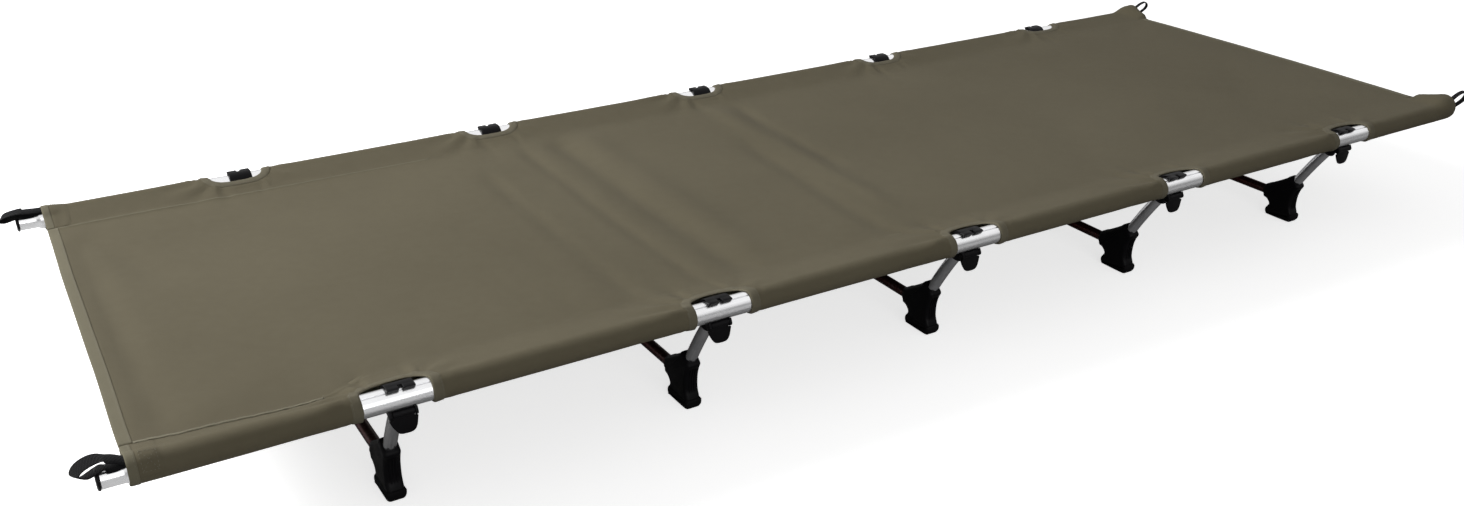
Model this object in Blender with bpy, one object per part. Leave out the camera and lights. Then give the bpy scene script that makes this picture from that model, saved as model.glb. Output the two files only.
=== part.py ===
"""Low camping cot: a fabric bed stretched between two sectional side rails.

Five leg sets cross under the bed. Each has a straight cross pole between two moulded feet,
and a bowed upright from each foot to a clip that hooks over the side rail. A cam lever
under every clip clamps it to the rail. Metres, +Z up, X along the bed, Y across it.
The origin is on the floor under the middle of the bed.
"""

import math

import bmesh
import bpy
from mathutils import Matrix, Vector

# Clearances between pieces that touch or slide into each other
GAP = 0.0003
TUNNEL_CLEARANCE = 0.0004

# Side rails
RAIL_RADIUS = 0.0120
RAIL_WALL = 0.0020
RAIL_AXIS_Y = 0.3290
RAIL_AXIS_Z = 0.1548
RAIL_LEFT_END = -0.9880
RAIL_RIGHT_END = 0.9760
RAIL_SECTIONS = 5
RAIL_SIDES = 18
GROOVE_ANGLE = math.radians(62)
GROOVE_WIDTH = 0.0024
GROOVE_DEPTH = 0.0012

# Spigots bonded into the rail sections, and the caps on the bare left ends
SPIGOT_WALL = 0.0012
SPIGOT_REACH = 0.0400
SPIGOT_ROOT = 0.0300
SPIGOT_SIDES = 8
CAP_FLANGE = 0.0030
CAP_OVERHANG = 0.0008
CAP_PLUG_LENGTH = 0.0100

# Bed cover
COVER_THICKNESS = 0.0012
BARE_RAIL_LENGTH = 0.0220
COVER_SAG = 0.0030
SEAM_INSET = 0.0500
SEAM_RISE = 0.0010
POCKET_SPARE_LENGTH = 0.0090
POCKET_TAPER_LENGTH = 0.0280
POCKET_END_WALL = 0.0030
POCKET_BACK_RADIUS = 0.0165
POCKET_BACK_ANGLE = math.radians(150)
SLEEVE_SIDES = 13
SLEEVE_WRAP = math.radians(213)
SHEET_STRIPS = 4

# Stages of the closed pocket tips: share of the tip's length, how far the seam is drawn in
# to the tip's round back, and the size of the section left at the end of the stage
POCKET_STAGES = ((0.45, 0.40, 1.0), (0.40, 0.85, 1.0), (0.15, 1.0, 0.78))

# Notches in the sleeves, where the clips reach the rails. They lie a little further apart
# than the leg sets.
NOTCH_EXTRA_PITCH = 0.0050
NOTCH_HALF_WIDTH = 0.0360
NOTCH_INSET_MIDDLE = 0.0175
NOTCH_INSET_END = 0.0130
NOTCH_ARC_STEPS = 6
NOTCH_UNDERCUT = 0.0300

# Leg sets
LEG_COUNT = 5
LEG_PITCH = 0.3585

# Cross poles
CROSS_RADIUS = 0.0070
CROSS_WALL = 0.0012
CROSS_AXIS_Z = 0.0360
CROSS_SOCKET_DEPTH = 0.0200
POLE_SIDES = 12

# Uprights, which bow gently between the foot and the clip
UPRIGHT_RADIUS = 0.0073
UPRIGHT_WALL = 0.0012
UPRIGHT_BOW = math.radians(4)
UPRIGHT_FOOT_Y = 0.2650
UPRIGHT_FOOT_Z = 0.0577
UPRIGHT_TOP_STANDOFF = 0.0170
UPRIGHT_LEAN = math.radians(54.6)
UPRIGHT_STEPS = 3

# Feet
FOOT_WIDTH = 0.0190
FOOT_BEVEL = 0.0040
FOOT_BASE_INNER_Y = 0.2330
FOOT_BASE_OUTER_Y = 0.2703
FOOT_PAD_BULGE = 0.0050
FOOT_PAD_HEIGHT = 0.0170
FOOT_ANKLE_Z = 0.0240
FOOT_CALF_Z = 0.0580
FOOT_CALF_OUT = 0.0070
FOOT_INNER_Y = 0.2195
FOOT_ARM_RISE = 0.0055
FOOT_ARM_REACH = 0.0200
FOOT_ARM_CHIN = 0.0080
FOOT_SOCKET_DEPTH = 0.0200
SOCKET_WALL = 0.0022

# Rail clips
CLIP_WIDTH = 0.0290
CLIP_WALL = 0.0030
CLIP_TIP_ANGLE = math.radians(57)
CLIP_LOWER_ANGLE = math.radians(262)
CLIP_STEPS = 9
CLIP_TOOTH_WIDTH = 0.0016
FINGER_SLOT = 0.0040
FINGER_SLOT_END_ANGLE = math.radians(104)
CLIP_SOCKET_LENGTH = 0.0320
EAR_THICKNESS = 0.0030
EAR_RADIUS = 0.0040

# Cam levers, which turn on their own trunnion pins in the clip's ears
CAM_RADIUS = 0.0039
CAM_ECCENTRICITY = 0.0008
PIN_RADIUS = 0.0015
PIN_ANGLE = math.radians(-72)
TAB_THICKNESS = 0.0026
TAB_LENGTH = 0.0224
TAB_HALF_WIDTH = 0.0146
TAB_SHOULDER = 0.0052
CAM_SIDES = 12
PIN_SIDES = 8

# Webbing loops at the four corners
WEBBING_WIDTH = 0.0140
WEBBING_THICKNESS = 0.0016
LEFT_LOOP_REACH = 0.0220
LEFT_LOOP_RISE = 0.0088
LEFT_LOOP_DROP = 0.0070
RIGHT_LOOP_REACH = 0.0250
RIGHT_LOOP_RISE = 0.0190
RIGHT_LOOP_ROOT_GAP = 0.0090
LOOP_STEPS = 2

# Ends of the cover
COVER_LEFT_END = RAIL_LEFT_END + BARE_RAIL_LENGTH
POCKET_TIP = RAIL_RIGHT_END + POCKET_SPARE_LENGTH
COVER_HEM_RIGHT = POCKET_TIP - POCKET_TAPER_LENGTH

# Sides of the bed along Y, and colours
SIDES = {"near": -1, "far": 1}
COVER_COLOUR = (0.142, 0.130, 0.093, 1)
ALUMINIUM_COLOUR = (0.72, 0.72, 0.74, 1)
UPRIGHT_COLOUR = (0.33, 0.33, 0.35, 1)
MAROON_COLOUR = (0.045, 0.012, 0.012, 1)
BLACK_NYLON_COLOUR = (0.012, 0.012, 0.013, 1)
WEBBING_COLOUR = (0.010, 0.010, 0.011, 1)


# General helpers

def clear_scene():
    for obj in list(bpy.data.objects):
        bpy.data.objects.remove(obj, do_unlink=True)


def make_material(name, colour, roughness, metallic):
    material = bpy.data.materials.new(name)
    material.use_nodes = True
    shader = material.node_tree.nodes["Principled BSDF"]
    shader.inputs["Base Color"].default_value = colour
    shader.inputs["Roughness"].default_value = roughness
    shader.inputs["Metallic"].default_value = metallic
    return material


def mesh_from_bmesh(bm, name):
    bmesh.ops.remove_doubles(bm, verts=bm.verts, dist=1e-7)
    bmesh.ops.recalc_face_normals(bm, faces=bm.faces)
    mesh = bpy.data.meshes.new(name)
    bm.to_mesh(mesh)
    bm.free()
    return mesh


def add_object(name, mesh, material=None, parent=None, location=(0, 0, 0), turn=0.0):
    obj = bpy.data.objects.new(name, mesh)
    bpy.context.scene.collection.objects.link(obj)
    obj.location = location
    obj.rotation_euler = (0, 0, turn)
    obj.parent = parent
    if material:
        mesh.materials.clear()
        mesh.materials.append(material)
    return obj


def add_empty(name, location, parent=None):
    empty = bpy.data.objects.new(name, None)
    bpy.context.scene.collection.objects.link(empty)
    empty.location = location
    empty.parent = parent
    return empty


def smooth_round_faces(mesh):
    mesh.shade_smooth()
    mesh.set_sharp_from_angle(angle=math.radians(32))


def boolean(mesh, tool_mesh, operation):
    """Return mesh combined with tool_mesh, both given in the same coordinates."""
    target = add_object("target", mesh)
    tool = add_object("tool", tool_mesh)
    modifier = target.modifiers.new("boolean", "BOOLEAN")
    modifier.object = tool
    modifier.operation = operation
    modifier.solver = "EXACT"
    graph = bpy.context.evaluated_depsgraph_get()
    result = bpy.data.meshes.new_from_object(target.evaluated_get(graph))
    bpy.data.objects.remove(target, do_unlink=True)
    bpy.data.objects.remove(tool, do_unlink=True)
    return result


def polar(radius, angle, centre=(0.0, 0.0)):
    return (centre[0] + radius * math.cos(angle), centre[1] + radius * math.sin(angle))


def arc(radius, start, end, steps, centre=(0.0, 0.0)):
    return [polar(radius, start + (end - start) * i / steps, centre) for i in range(steps + 1)]


def circle(radius, sides, centre=(0.0, 0.0)):
    return arc(radius, 0, 2 * math.pi, sides, centre)[:-1]


def around(radius, sides):
    """Corner radius of a polygon whose flat sides stay outside a circle of this radius."""
    return radius / math.cos(math.pi / sides)


def along_x(outline, low, high):
    """Extrude a closed (y, z) outline along X."""
    bm = bmesh.new()
    face = bm.faces.new([bm.verts.new((low, y, z)) for y, z in outline])
    sweep = bmesh.ops.extrude_face_region(bm, geom=[face])
    moved = [item for item in sweep["geom"] if isinstance(item, bmesh.types.BMVert)]
    bmesh.ops.translate(bm, verts=moved, vec=(high - low, 0, 0))
    return bm


def tube_along_x(outer, inner, low, high):
    """Extrude the ring between two closed (y, z) outlines with equal point counts along X."""
    bm = bmesh.new()
    loops = []
    for outline in (outer, inner):
        verts = [bm.verts.new((low, y, z)) for y, z in outline]
        loops += [bm.edges.new((verts[i - 1], verts[i])) for i in range(len(verts))]
    ring = bmesh.ops.bridge_loops(bm, edges=loops)["faces"]
    sweep = bmesh.ops.extrude_face_region(bm, geom=ring)
    moved = [item for item in sweep["geom"] if isinstance(item, bmesh.types.BMVert)]
    bmesh.ops.translate(bm, verts=moved, vec=(high - low, 0, 0))
    return bm


# Side rails, ferrules and end caps

def rail_outline():
    """Rail section with the finger groove on its upper outer side."""
    half = GROOVE_WIDTH / 2 / RAIL_RADIUS
    floor = RAIL_RADIUS - GROOVE_DEPTH
    points = arc(RAIL_RADIUS, GROOVE_ANGLE + half, GROOVE_ANGLE - half + 2 * math.pi, RAIL_SIDES)
    points += [polar(floor, GROOVE_ANGLE - half), polar(floor, GROOVE_ANGLE + half)]
    return points


def rail_bore_outline():
    points = rail_outline()
    bore = RAIL_RADIUS - RAIL_WALL
    return [polar(bore, math.atan2(z, y)) for y, z in points]


def rail_breaks():
    length = RAIL_RIGHT_END - RAIL_LEFT_END
    return [RAIL_LEFT_END + length * i / RAIL_SECTIONS for i in range(RAIL_SECTIONS + 1)]


def rail_tube_mesh(sign, low, high):
    outer = [(sign * y, z) for y, z in rail_outline()]
    inner = [(sign * y, z) for y, z in rail_bore_outline()]
    return mesh_from_bmesh(tube_along_x(outer, inner, low, high), "rail")


def spigot_mesh(joint):
    """Inner tube across a joint: held in the left section, free in the right one."""
    free = RAIL_RADIUS - RAIL_WALL - TUNNEL_CLEARANCE
    held = RAIL_RADIUS - RAIL_WALL / 2
    bore = circle(free - SPIGOT_WALL, SPIGOT_SIDES)
    start = joint - SPIGOT_ROOT
    reach = tube_along_x(circle(free, SPIGOT_SIDES), bore, start + SPIGOT_ROOT / 2, joint + SPIGOT_REACH)
    root = tube_along_x(circle(held, SPIGOT_SIDES), bore, start, joint - GAP)
    return boolean(mesh_from_bmesh(root, "root"), mesh_from_bmesh(reach, "reach"), "UNION")


def build_rails(material):
    breaks = rail_breaks()
    for side, sign in SIDES.items():
        for i in range(RAIL_SECTIONS):
            last = i == RAIL_SECTIONS - 1
            low = breaks[i] + (GAP / 2 if i else 0)
            high = breaks[i + 1] - (0 if last else GAP / 2)
            mesh = rail_tube_mesh(sign, low, high)
            if not last:
                mesh = boolean(mesh, spigot_mesh(breaks[i + 1]), "UNION")
            smooth_round_faces(mesh)
            location = (0, sign * RAIL_AXIS_Y, RAIL_AXIS_Z)
            add_object(f"rail_{side}_{i + 1}", mesh, material, location=location)


def end_cap_mesh():
    """Cap on a rail's left end: a flange with a plug inside the tube."""
    face = RAIL_LEFT_END - GAP
    flange = along_x(circle(RAIL_RADIUS + CAP_OVERHANG, RAIL_SIDES), face - CAP_FLANGE, face)
    plug_radius = RAIL_RADIUS - RAIL_WALL - TUNNEL_CLEARANCE
    plug_end = RAIL_LEFT_END + CAP_PLUG_LENGTH
    plug = along_x(circle(plug_radius, POLE_SIDES), face - CAP_FLANGE / 2, plug_end)
    return boolean(mesh_from_bmesh(flange, "flange"), mesh_from_bmesh(plug, "plug"), "UNION")


# Bed cover: sheet, sleeves, closed pockets at the right end

SLEEVE_INNER = around(RAIL_RADIUS + TUNNEL_CLEARANCE, SLEEVE_SIDES * 2 * math.pi / SLEEVE_WRAP)
SLEEVE_OUTER = SLEEVE_INNER + COVER_THICKNESS
SEAM_Y = RAIL_AXIS_Y - SEAM_INSET
SEAM_Z = RAIL_AXIS_Z + SEAM_RISE


def sheet_top(y):
    """Height of the bed's upper face between the seams, which sags a little in the middle."""
    return SEAM_Z + COVER_THICKNESS / 2 - COVER_SAG * (1 - (y / SEAM_Y) ** 2)


def tangent_angles(radius, apex_y, half):
    """Angles round the rail where the lines from two points, half above and below the seam, touch."""
    dy = apex_y - RAIL_AXIS_Y
    angles = []
    for side in (-1, 1):
        dz = SEAM_RISE - side * half
        towards = math.atan2(dz, dy) % (2 * math.pi)
        angles.append(towards + side * math.acos(radius / math.hypot(dy, dz)))
    return angles


def wrap(radius, apex_y, half=0.0):
    """Outline round the rail from the upper tangent, outwards and back to the lower one."""
    start, end = tangent_angles(radius, apex_y, half)
    return arc(radius, start, end - 2 * math.pi, SLEEVE_SIDES, (RAIL_AXIS_Y, RAIL_AXIS_Z))


def sleeve_section():
    """Outer outline of one sleeve, from the seam's upper face round the rail to its lower face."""
    half = COVER_THICKNESS / 2
    return [(SEAM_Y, SEAM_Z + half)] + wrap(SLEEVE_OUTER, SEAM_Y, half) + [(SEAM_Y, SEAM_Z - half)]


def sleeve_top(y):
    """Height of the sleeve's upper face between the seam and the rail."""
    (y0, z0), (y1, z1) = sleeve_section()[:2]
    return z0 + (z1 - z0) * (y - y0) / (y1 - y0)


def draw_in(corner, sign, pull):
    """Move a seam corner of a pocket's end towards the tip's round back."""
    half = COVER_THICKNESS / 2
    back_y, back_z = polar(POCKET_BACK_RADIUS, POCKET_BACK_ANGLE)
    inset = SEAM_INSET + (-back_y - SEAM_INSET) * pull
    rise = half + (back_z - half) * pull
    middle = SEAM_RISE * (1 - pull)
    upper = 1 if corner.z > SEAM_Z else -1
    corner.y = sign * (RAIL_AXIS_Y - inset)
    corner.z = RAIL_AXIS_Z + middle + upper * rise


def cover_blank_mesh():
    """Sheet and sleeves as one solid, with the pockets' closed tips drawn out at the right."""
    bm = bmesh.new()

    def vert(y, z):
        return bm.verts.new((COVER_LEFT_END, y, z))

    strip_ys = [SEAM_Y * (i / SHEET_STRIPS - 1) for i in range(2 * SHEET_STRIPS + 1)]
    top = [vert(y, sheet_top(y)) for y in strip_ys]
    bottom = [vert(y, sheet_top(y) - COVER_THICKNESS) for y in strip_ys]
    section = sleeve_section()[1:-1]
    near = [top[0]] + [vert(-y, z) for y, z in section] + [bottom[0]]
    far = [top[-1]] + [vert(y, z) for y, z in section] + [bottom[-1]]
    sheet = bm.faces.new(top + bottom[::-1])
    sleeves = [bm.faces.new(near), bm.faces.new(far)]

    def extrude(faces, distance):
        sweep = bmesh.ops.extrude_face_region(bm, geom=faces)
        moved = [item for item in sweep["geom"] if isinstance(item, bmesh.types.BMVert)]
        bmesh.ops.translate(bm, verts=moved, vec=(distance, 0, 0))
        return [item for item in sweep["geom"] if isinstance(item, bmesh.types.BMFace)]

    ends = extrude([sheet] + sleeves, COVER_HEM_RIGHT - COVER_LEFT_END)
    tips = [face for face in ends if abs(face.calc_center_median().y) > SEAM_Y]
    tip_length = POCKET_TIP - COVER_HEM_RIGHT
    for share, pull, shrink in POCKET_STAGES:
        moved_faces = []
        for face in tips:
            moved_faces += extrude([face], tip_length * share)
        bmesh.ops.delete(bm, geom=tips, context="FACES_ONLY")
        for face in moved_faces:
            sign = math.copysign(1, face.calc_center_median().y)
            for corner in face.verts:
                if RAIL_AXIS_Y - abs(corner.co.y) > SLEEVE_OUTER:
                    draw_in(corner.co, sign, pull)
                corner.co.y = sign * RAIL_AXIS_Y + (corner.co.y - sign * RAIL_AXIS_Y) * shrink
                corner.co.z = RAIL_AXIS_Z + (corner.co.z - RAIL_AXIS_Z) * shrink
        tips = moved_faces
    return mesh_from_bmesh(bm, "bed_cover")


def tunnel_meshes(sign):
    """Space inside one sleeve: as wide as the sleeve up to the hem, and round in the pocket's tip."""
    apex_y = SEAM_Y + 2 * COVER_THICKNESS
    start = COVER_LEFT_END - 0.01
    wide = wrap(SLEEVE_INNER, apex_y) + [(apex_y, SEAM_Z)]
    wide = along_x([(sign * y, z) for y, z in wide], start, COVER_HEM_RIGHT - COVER_THICKNESS)
    bore = circle(SLEEVE_INNER, RAIL_SIDES, (sign * RAIL_AXIS_Y, RAIL_AXIS_Z))
    bore = along_x(bore, COVER_HEM_RIGHT - POCKET_TAPER_LENGTH, POCKET_TIP - POCKET_END_WALL)
    return [mesh_from_bmesh(wide, "tunnel"), mesh_from_bmesh(bore, "pocket")]


def notch_centres():
    middle = (LEG_COUNT - 1) / 2
    return [(i - middle) * (LEG_PITCH + NOTCH_EXTRA_PITCH) for i in range(LEG_COUNT)]


def notch_edge(offset):
    """Distance of the notch's edge from the bed's centre line, at an offset along X."""
    share = (offset / NOTCH_HALF_WIDTH) ** 2
    inset = NOTCH_INSET_MIDDLE + (NOTCH_INSET_END - NOTCH_INSET_MIDDLE) * share
    return RAIL_AXIS_Y - inset


def notch_mesh(centre, sign):
    """Cutter for one notch: the shallow arc in the top, and the undercut for the clip."""
    outside = RAIL_AXIS_Y + 2 * SLEEVE_OUTER
    offsets = [NOTCH_HALF_WIDTH * (2 * i / NOTCH_ARC_STEPS - 1) for i in range(NOTCH_ARC_STEPS + 1)]
    plan = [(centre + o, sign * notch_edge(o)) for o in offsets]
    plan += [(centre + NOTCH_HALF_WIDTH, sign * outside), (centre - NOTCH_HALF_WIDTH, sign * outside)]
    bm = bmesh.new()
    floor = RAIL_AXIS_Z - 2 * SLEEVE_OUTER
    face = bm.faces.new([bm.verts.new((x, y, floor)) for x, y in plan])
    sweep = bmesh.ops.extrude_face_region(bm, geom=[face])
    moved = [item for item in sweep["geom"] if isinstance(item, bmesh.types.BMVert)]
    bmesh.ops.translate(bm, verts=moved, vec=(0, 0, 4 * SLEEVE_OUTER))
    upper = mesh_from_bmesh(bm, "notch")
    inner_y = RAIL_AXIS_Y - NOTCH_UNDERCUT
    ceiling = sleeve_top(inner_y) - COVER_THICKNESS - GAP
    low = sign * inner_y
    high = sign * outside
    corners = [(low, floor), (high, floor), (high, ceiling), (low, ceiling)]
    under = along_x(corners, centre - NOTCH_HALF_WIDTH, centre + NOTCH_HALF_WIDTH)
    return boolean(upper, mesh_from_bmesh(under, "undercut"), "UNION")


def build_cover(material):
    mesh = cover_blank_mesh()
    for sign in SIDES.values():
        for tunnel in tunnel_meshes(sign):
            mesh = boolean(mesh, tunnel, "DIFFERENCE")
        for centre in notch_centres():
            mesh = boolean(mesh, notch_mesh(centre, sign), "DIFFERENCE")
    smooth_round_faces(mesh)
    add_object("bed_cover", mesh, material)


# Webbing loops

def smooth_route(points, steps):
    """Evenly sampled Catmull-Rom curve through hand-placed (x, z) points."""
    padded = [points[0]] + points + [points[-1]]
    route = []
    for i in range(1, len(padded) - 2):
        p0, p1, p2, p3 = (Vector(p) for p in padded[i - 1:i + 3])
        for k in range(steps):
            t = k / steps
            route.append(
                0.5 * (2 * p1 + (p2 - p0) * t + (2 * p0 - 5 * p1 + 4 * p2 - p3) * t * t
                       + (3 * p1 - p0 - 3 * p2 + p3) * t ** 3)
            )
    route.append(Vector(points[-1]))
    return route


def strap_mesh(points):
    """Flat strap whose face follows an (x, z) route, centred on y = 0."""
    route = smooth_route(points, LOOP_STEPS)
    outline_out = []
    outline_in = []
    for i, point in enumerate(route):
        ahead = route[min(i + 1, len(route) - 1)]
        behind = route[max(i - 1, 0)]
        direction = (ahead - behind).normalized()
        if point in (route[0], route[-1]):
            direction = Vector((math.copysign(1, direction.x), 0))
        normal = Vector((-direction.y, direction.x)) * WEBBING_THICKNESS / 2
        outline_out.append(point + normal)
        outline_in.append(point - normal)
    bm = bmesh.new()
    low = -WEBBING_WIDTH / 2
    outer = [bm.verts.new((p.x, low, p.y)) for p in outline_out]
    inner = [bm.verts.new((p.x, low, p.y)) for p in outline_in]
    strips = [
        bm.faces.new((outer[i], outer[i + 1], inner[i + 1], inner[i])) for i in range(len(route) - 1)
    ]
    sweep = bmesh.ops.extrude_face_region(bm, geom=strips)
    moved = [item for item in sweep["geom"] if isinstance(item, bmesh.types.BMVert)]
    bmesh.ops.translate(bm, verts=moved, vec=(0, WEBBING_WIDTH, 0))
    return mesh_from_bmesh(bm, "strap")


def left_loop_route():
    """Both ends lie on the rail at the sleeve's mouth; the loop stands out past the rail's cap."""
    start = COVER_LEFT_END - GAP
    cap = RAIL_LEFT_END - GAP - CAP_FLANGE
    tip = RAIL_LEFT_END - LEFT_LOOP_REACH
    reach = LEFT_LOOP_REACH - CAP_FLANGE
    lower = RAIL_AXIS_Z + RAIL_RADIUS + GAP + WEBBING_THICKNESS / 2
    upper = lower + WEBBING_THICKNESS + GAP
    top = lower + LEFT_LOOP_RISE
    return [
        (start, lower),
        (RAIL_LEFT_END, lower),
        (cap - reach * 0.20, lower - LEFT_LOOP_DROP * 0.45),
        (cap - reach * 0.65, lower - LEFT_LOOP_DROP),
        (tip, lower - LEFT_LOOP_DROP * 0.15),
        (tip + reach * 0.32, lower + LEFT_LOOP_RISE * 0.50),
        (cap, top),
        (start - BARE_RAIL_LENGTH * 0.35, top - LEFT_LOOP_RISE * 0.25),
        (start, upper),
    ]


def right_loop_route():
    """A closed-up loop sewn to the pocket's tip, pointing out and slightly up."""
    root = POCKET_TIP + GAP
    reach = RIGHT_LOOP_REACH - GAP
    tip = root + reach
    top = RAIL_AXIS_Z + RIGHT_LOOP_RISE
    upper = RAIL_AXIS_Z + RIGHT_LOOP_ROOT_GAP / 2
    lower = RAIL_AXIS_Z - RIGHT_LOOP_ROOT_GAP / 2
    return [
        (root, upper),
        (root + reach * 0.24, upper + RIGHT_LOOP_RISE * 0.34),
        (root + reach * 0.57, top - RIGHT_LOOP_RISE * 0.10),
        (tip - reach * 0.12, top),
        (tip, top - RIGHT_LOOP_RISE * 0.32),
        (tip - reach * 0.20, top - RIGHT_LOOP_RISE * 0.68),
        (root + reach * 0.32, lower + RIGHT_LOOP_RISE * 0.18),
        (root, lower),
    ]


def build_webbing(material):
    """The left straps are fixed to the rims of the rails' caps; the right ones are sewn on."""
    left = strap_mesh(left_loop_route())
    left.transform(Matrix.Translation((0, 0, -RAIL_AXIS_Z)))
    left = boolean(end_cap_mesh(), left, "UNION")
    right = strap_mesh(right_loop_route())
    right.transform(Matrix.Translation((0, 0, -RAIL_AXIS_Z)))
    for mesh, end in ((left, "left"), (right, "right")):
        smooth_round_faces(mesh)
        for side, sign in SIDES.items():
            name = f"end_strap_{end}_{side}"
            add_object(name, mesh, material, location=(0, sign * RAIL_AXIS_Y, RAIL_AXIS_Z))


# Leg pieces, in coordinates where +Y points away from the bed's middle.
# Uprights, clips and levers have y = 0, z = 0 on the rail's axis.

def upright_top():
    return polar(UPRIGHT_TOP_STANDOFF, UPRIGHT_LEAN + math.pi)


def upright_arc():
    """Centre, radius and end angles of the arc that the upright's middle line follows."""
    top = Vector(upright_top())
    foot = Vector((UPRIGHT_FOOT_Y - RAIL_AXIS_Y, UPRIGHT_FOOT_Z - RAIL_AXIS_Z))
    chord = top - foot
    radius = chord.length / 2 / math.sin(UPRIGHT_BOW)
    across = Vector((chord.y, -chord.x)).normalized()
    centre = (top + foot) / 2 + across * radius * math.cos(UPRIGHT_BOW)
    start = math.atan2(foot.y - centre.y, foot.x - centre.x)
    return centre, radius, start, -2 * UPRIGHT_BOW


def bowed_rod(outer, inner, extra_low=0.0, extra_high=0.0):
    """Rod or tube along the upright's arc. The extras lengthen its lower and upper ends."""
    centre, radius, start, sweep = upright_arc()
    start += extra_low / radius
    sweep -= (extra_low + extra_high) / radius
    bm = bmesh.new()
    axis_point = Vector((0, centre.x, centre.y))
    radial = Vector((0, math.cos(start), math.sin(start)))
    middle = axis_point + radial * radius
    loops = []
    faces = []
    for size in (outer, inner):
        if not size:
            continue
        ring = circle(size, POLE_SIDES)
        verts = [bm.verts.new(middle + Vector((x, 0, 0)) + radial * r) for x, r in ring]
        if inner:
            loops += [bm.edges.new((verts[i - 1], verts[i])) for i in range(len(verts))]
        else:
            faces = [bm.faces.new(verts)]
    if inner:
        faces = bmesh.ops.bridge_loops(bm, edges=loops)["faces"]
    bmesh.ops.spin(
        bm,
        geom=faces,
        cent=axis_point,
        axis=(1, 0, 0),
        angle=sweep,
        steps=UPRIGHT_STEPS,
        use_duplicate=False,
    )
    return mesh_from_bmesh(bm, "upright")


def pin_place():
    distance = RAIL_RADIUS + GAP + CAM_RADIUS + CAM_ECCENTRICITY
    return polar(distance, PIN_ANGLE)


def foot_outline():
    """Side view of a foot: base pad, waist, inner arm and outer socket, as (y, z)."""
    base = FOOT_BASE_INNER_Y
    outer = FOOT_BASE_OUTER_Y
    arm_half = CROSS_RADIUS + GAP + SOCKET_WALL
    lean = UPRIGHT_LEAN + UPRIGHT_BOW
    rim = Vector(polar(FOOT_SOCKET_DEPTH, lean, (UPRIGHT_FOOT_Y, UPRIGHT_FOOT_Z)))
    rim_half = UPRIGHT_RADIUS + GAP + SOCKET_WALL
    side = Vector(polar(rim_half, lean - math.pi / 2))
    pad = FOOT_PAD_HEIGHT
    arm_top = CROSS_AXIS_Z + arm_half
    arm_bottom = CROSS_AXIS_Z - arm_half
    return [
        (base, 0.0),
        (outer, 0.0),
        (outer + FOOT_PAD_BULGE * 0.9, pad * 0.24),
        (outer + FOOT_PAD_BULGE, pad * 0.65),
        (outer + FOOT_PAD_BULGE * 0.5, pad),
        (outer, FOOT_ANKLE_Z),
        (outer + FOOT_CALF_OUT * 0.15, (FOOT_ANKLE_Z + FOOT_CALF_Z) / 2),
        (outer + FOOT_CALF_OUT, FOOT_CALF_Z),
        tuple(rim + side),
        tuple(rim - side),
        (rim.x - side.x - FOOT_ARM_RISE, rim.y - side.y - FOOT_ARM_RISE / 2),
        (FOOT_INNER_Y + FOOT_ARM_REACH, arm_top + FOOT_ARM_RISE),
        (FOOT_INNER_Y + FOOT_ARM_REACH * 0.3, arm_top + FOOT_ARM_RISE * 0.4),
        (FOOT_INNER_Y, arm_top),
        (FOOT_INNER_Y, arm_bottom),
        (FOOT_INNER_Y + FOOT_ARM_CHIN, arm_bottom - FOOT_ARM_CHIN * 0.4),
        (base, pad * 0.94),
        (base - FOOT_PAD_BULGE * 0.8, pad * 0.70),
        (base - FOOT_PAD_BULGE * 0.8, pad * 0.24),
    ]


def foot_mesh():
    bm = along_x(foot_outline(), -FOOT_WIDTH / 2, FOOT_WIDTH / 2)
    bmesh.ops.recalc_face_normals(bm, faces=bm.faces)
    rims = [e for e in bm.edges if abs(e.verts[0].co.x - e.verts[1].co.x) < GAP]
    rims = [e for e in rims if max(v.co.z for v in e.verts) > 0.001]
    bmesh.ops.bevel(
        bm,
        geom=rims,
        offset=FOOT_BEVEL,
        segments=2,
        profile=0.5,
        affect="EDGES",
        clamp_overlap=True,
        material=-1,
    )
    mesh = mesh_from_bmesh(bm, "foot")
    rise = FOOT_SOCKET_DEPTH * 0.5
    bore = bowed_rod(UPRIGHT_RADIUS + TUNNEL_CLEARANCE, 0, extra_low=GAP, extra_high=rise)
    bore.transform(Matrix.Translation((0, RAIL_AXIS_Y, RAIL_AXIS_Z)))
    mesh = boolean(mesh, bore, "DIFFERENCE")
    mesh = boolean(mesh, cross_socket_mesh(), "DIFFERENCE")
    smooth_round_faces(mesh)
    return mesh


def rod_along_y(radius, low, high, z, inner=0.0):
    """Straight rod or tube along Y."""
    outline = circle(radius, POLE_SIDES)
    if inner:
        bm = tube_along_x(outline, circle(inner, POLE_SIDES), low, high)
    else:
        bm = along_x(outline, low, high)
    bmesh.ops.rotate(bm, verts=bm.verts, cent=(0, 0, 0), matrix=Matrix.Rotation(math.pi / 2, 3, "Z"))
    bmesh.ops.translate(bm, verts=bm.verts, vec=(0, 0, z))
    return mesh_from_bmesh(bm, "rod")


def cross_socket_mesh():
    reach = FOOT_INNER_Y + CROSS_SOCKET_DEPTH + GAP
    return rod_along_y(CROSS_RADIUS + TUNNEL_CLEARANCE, FOOT_INNER_Y - 0.01, reach, CROSS_AXIS_Z)


def cross_pole_mesh():
    reach = FOOT_INNER_Y + CROSS_SOCKET_DEPTH
    mesh = rod_along_y(CROSS_RADIUS, -reach, reach, CROSS_AXIS_Z, CROSS_RADIUS - CROSS_WALL)
    smooth_round_faces(mesh)
    return mesh


CLIP_INNER = around(RAIL_RADIUS + GAP, CLIP_STEPS * 2 * math.pi / (CLIP_LOWER_ANGLE - CLIP_TIP_ANGLE))


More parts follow.
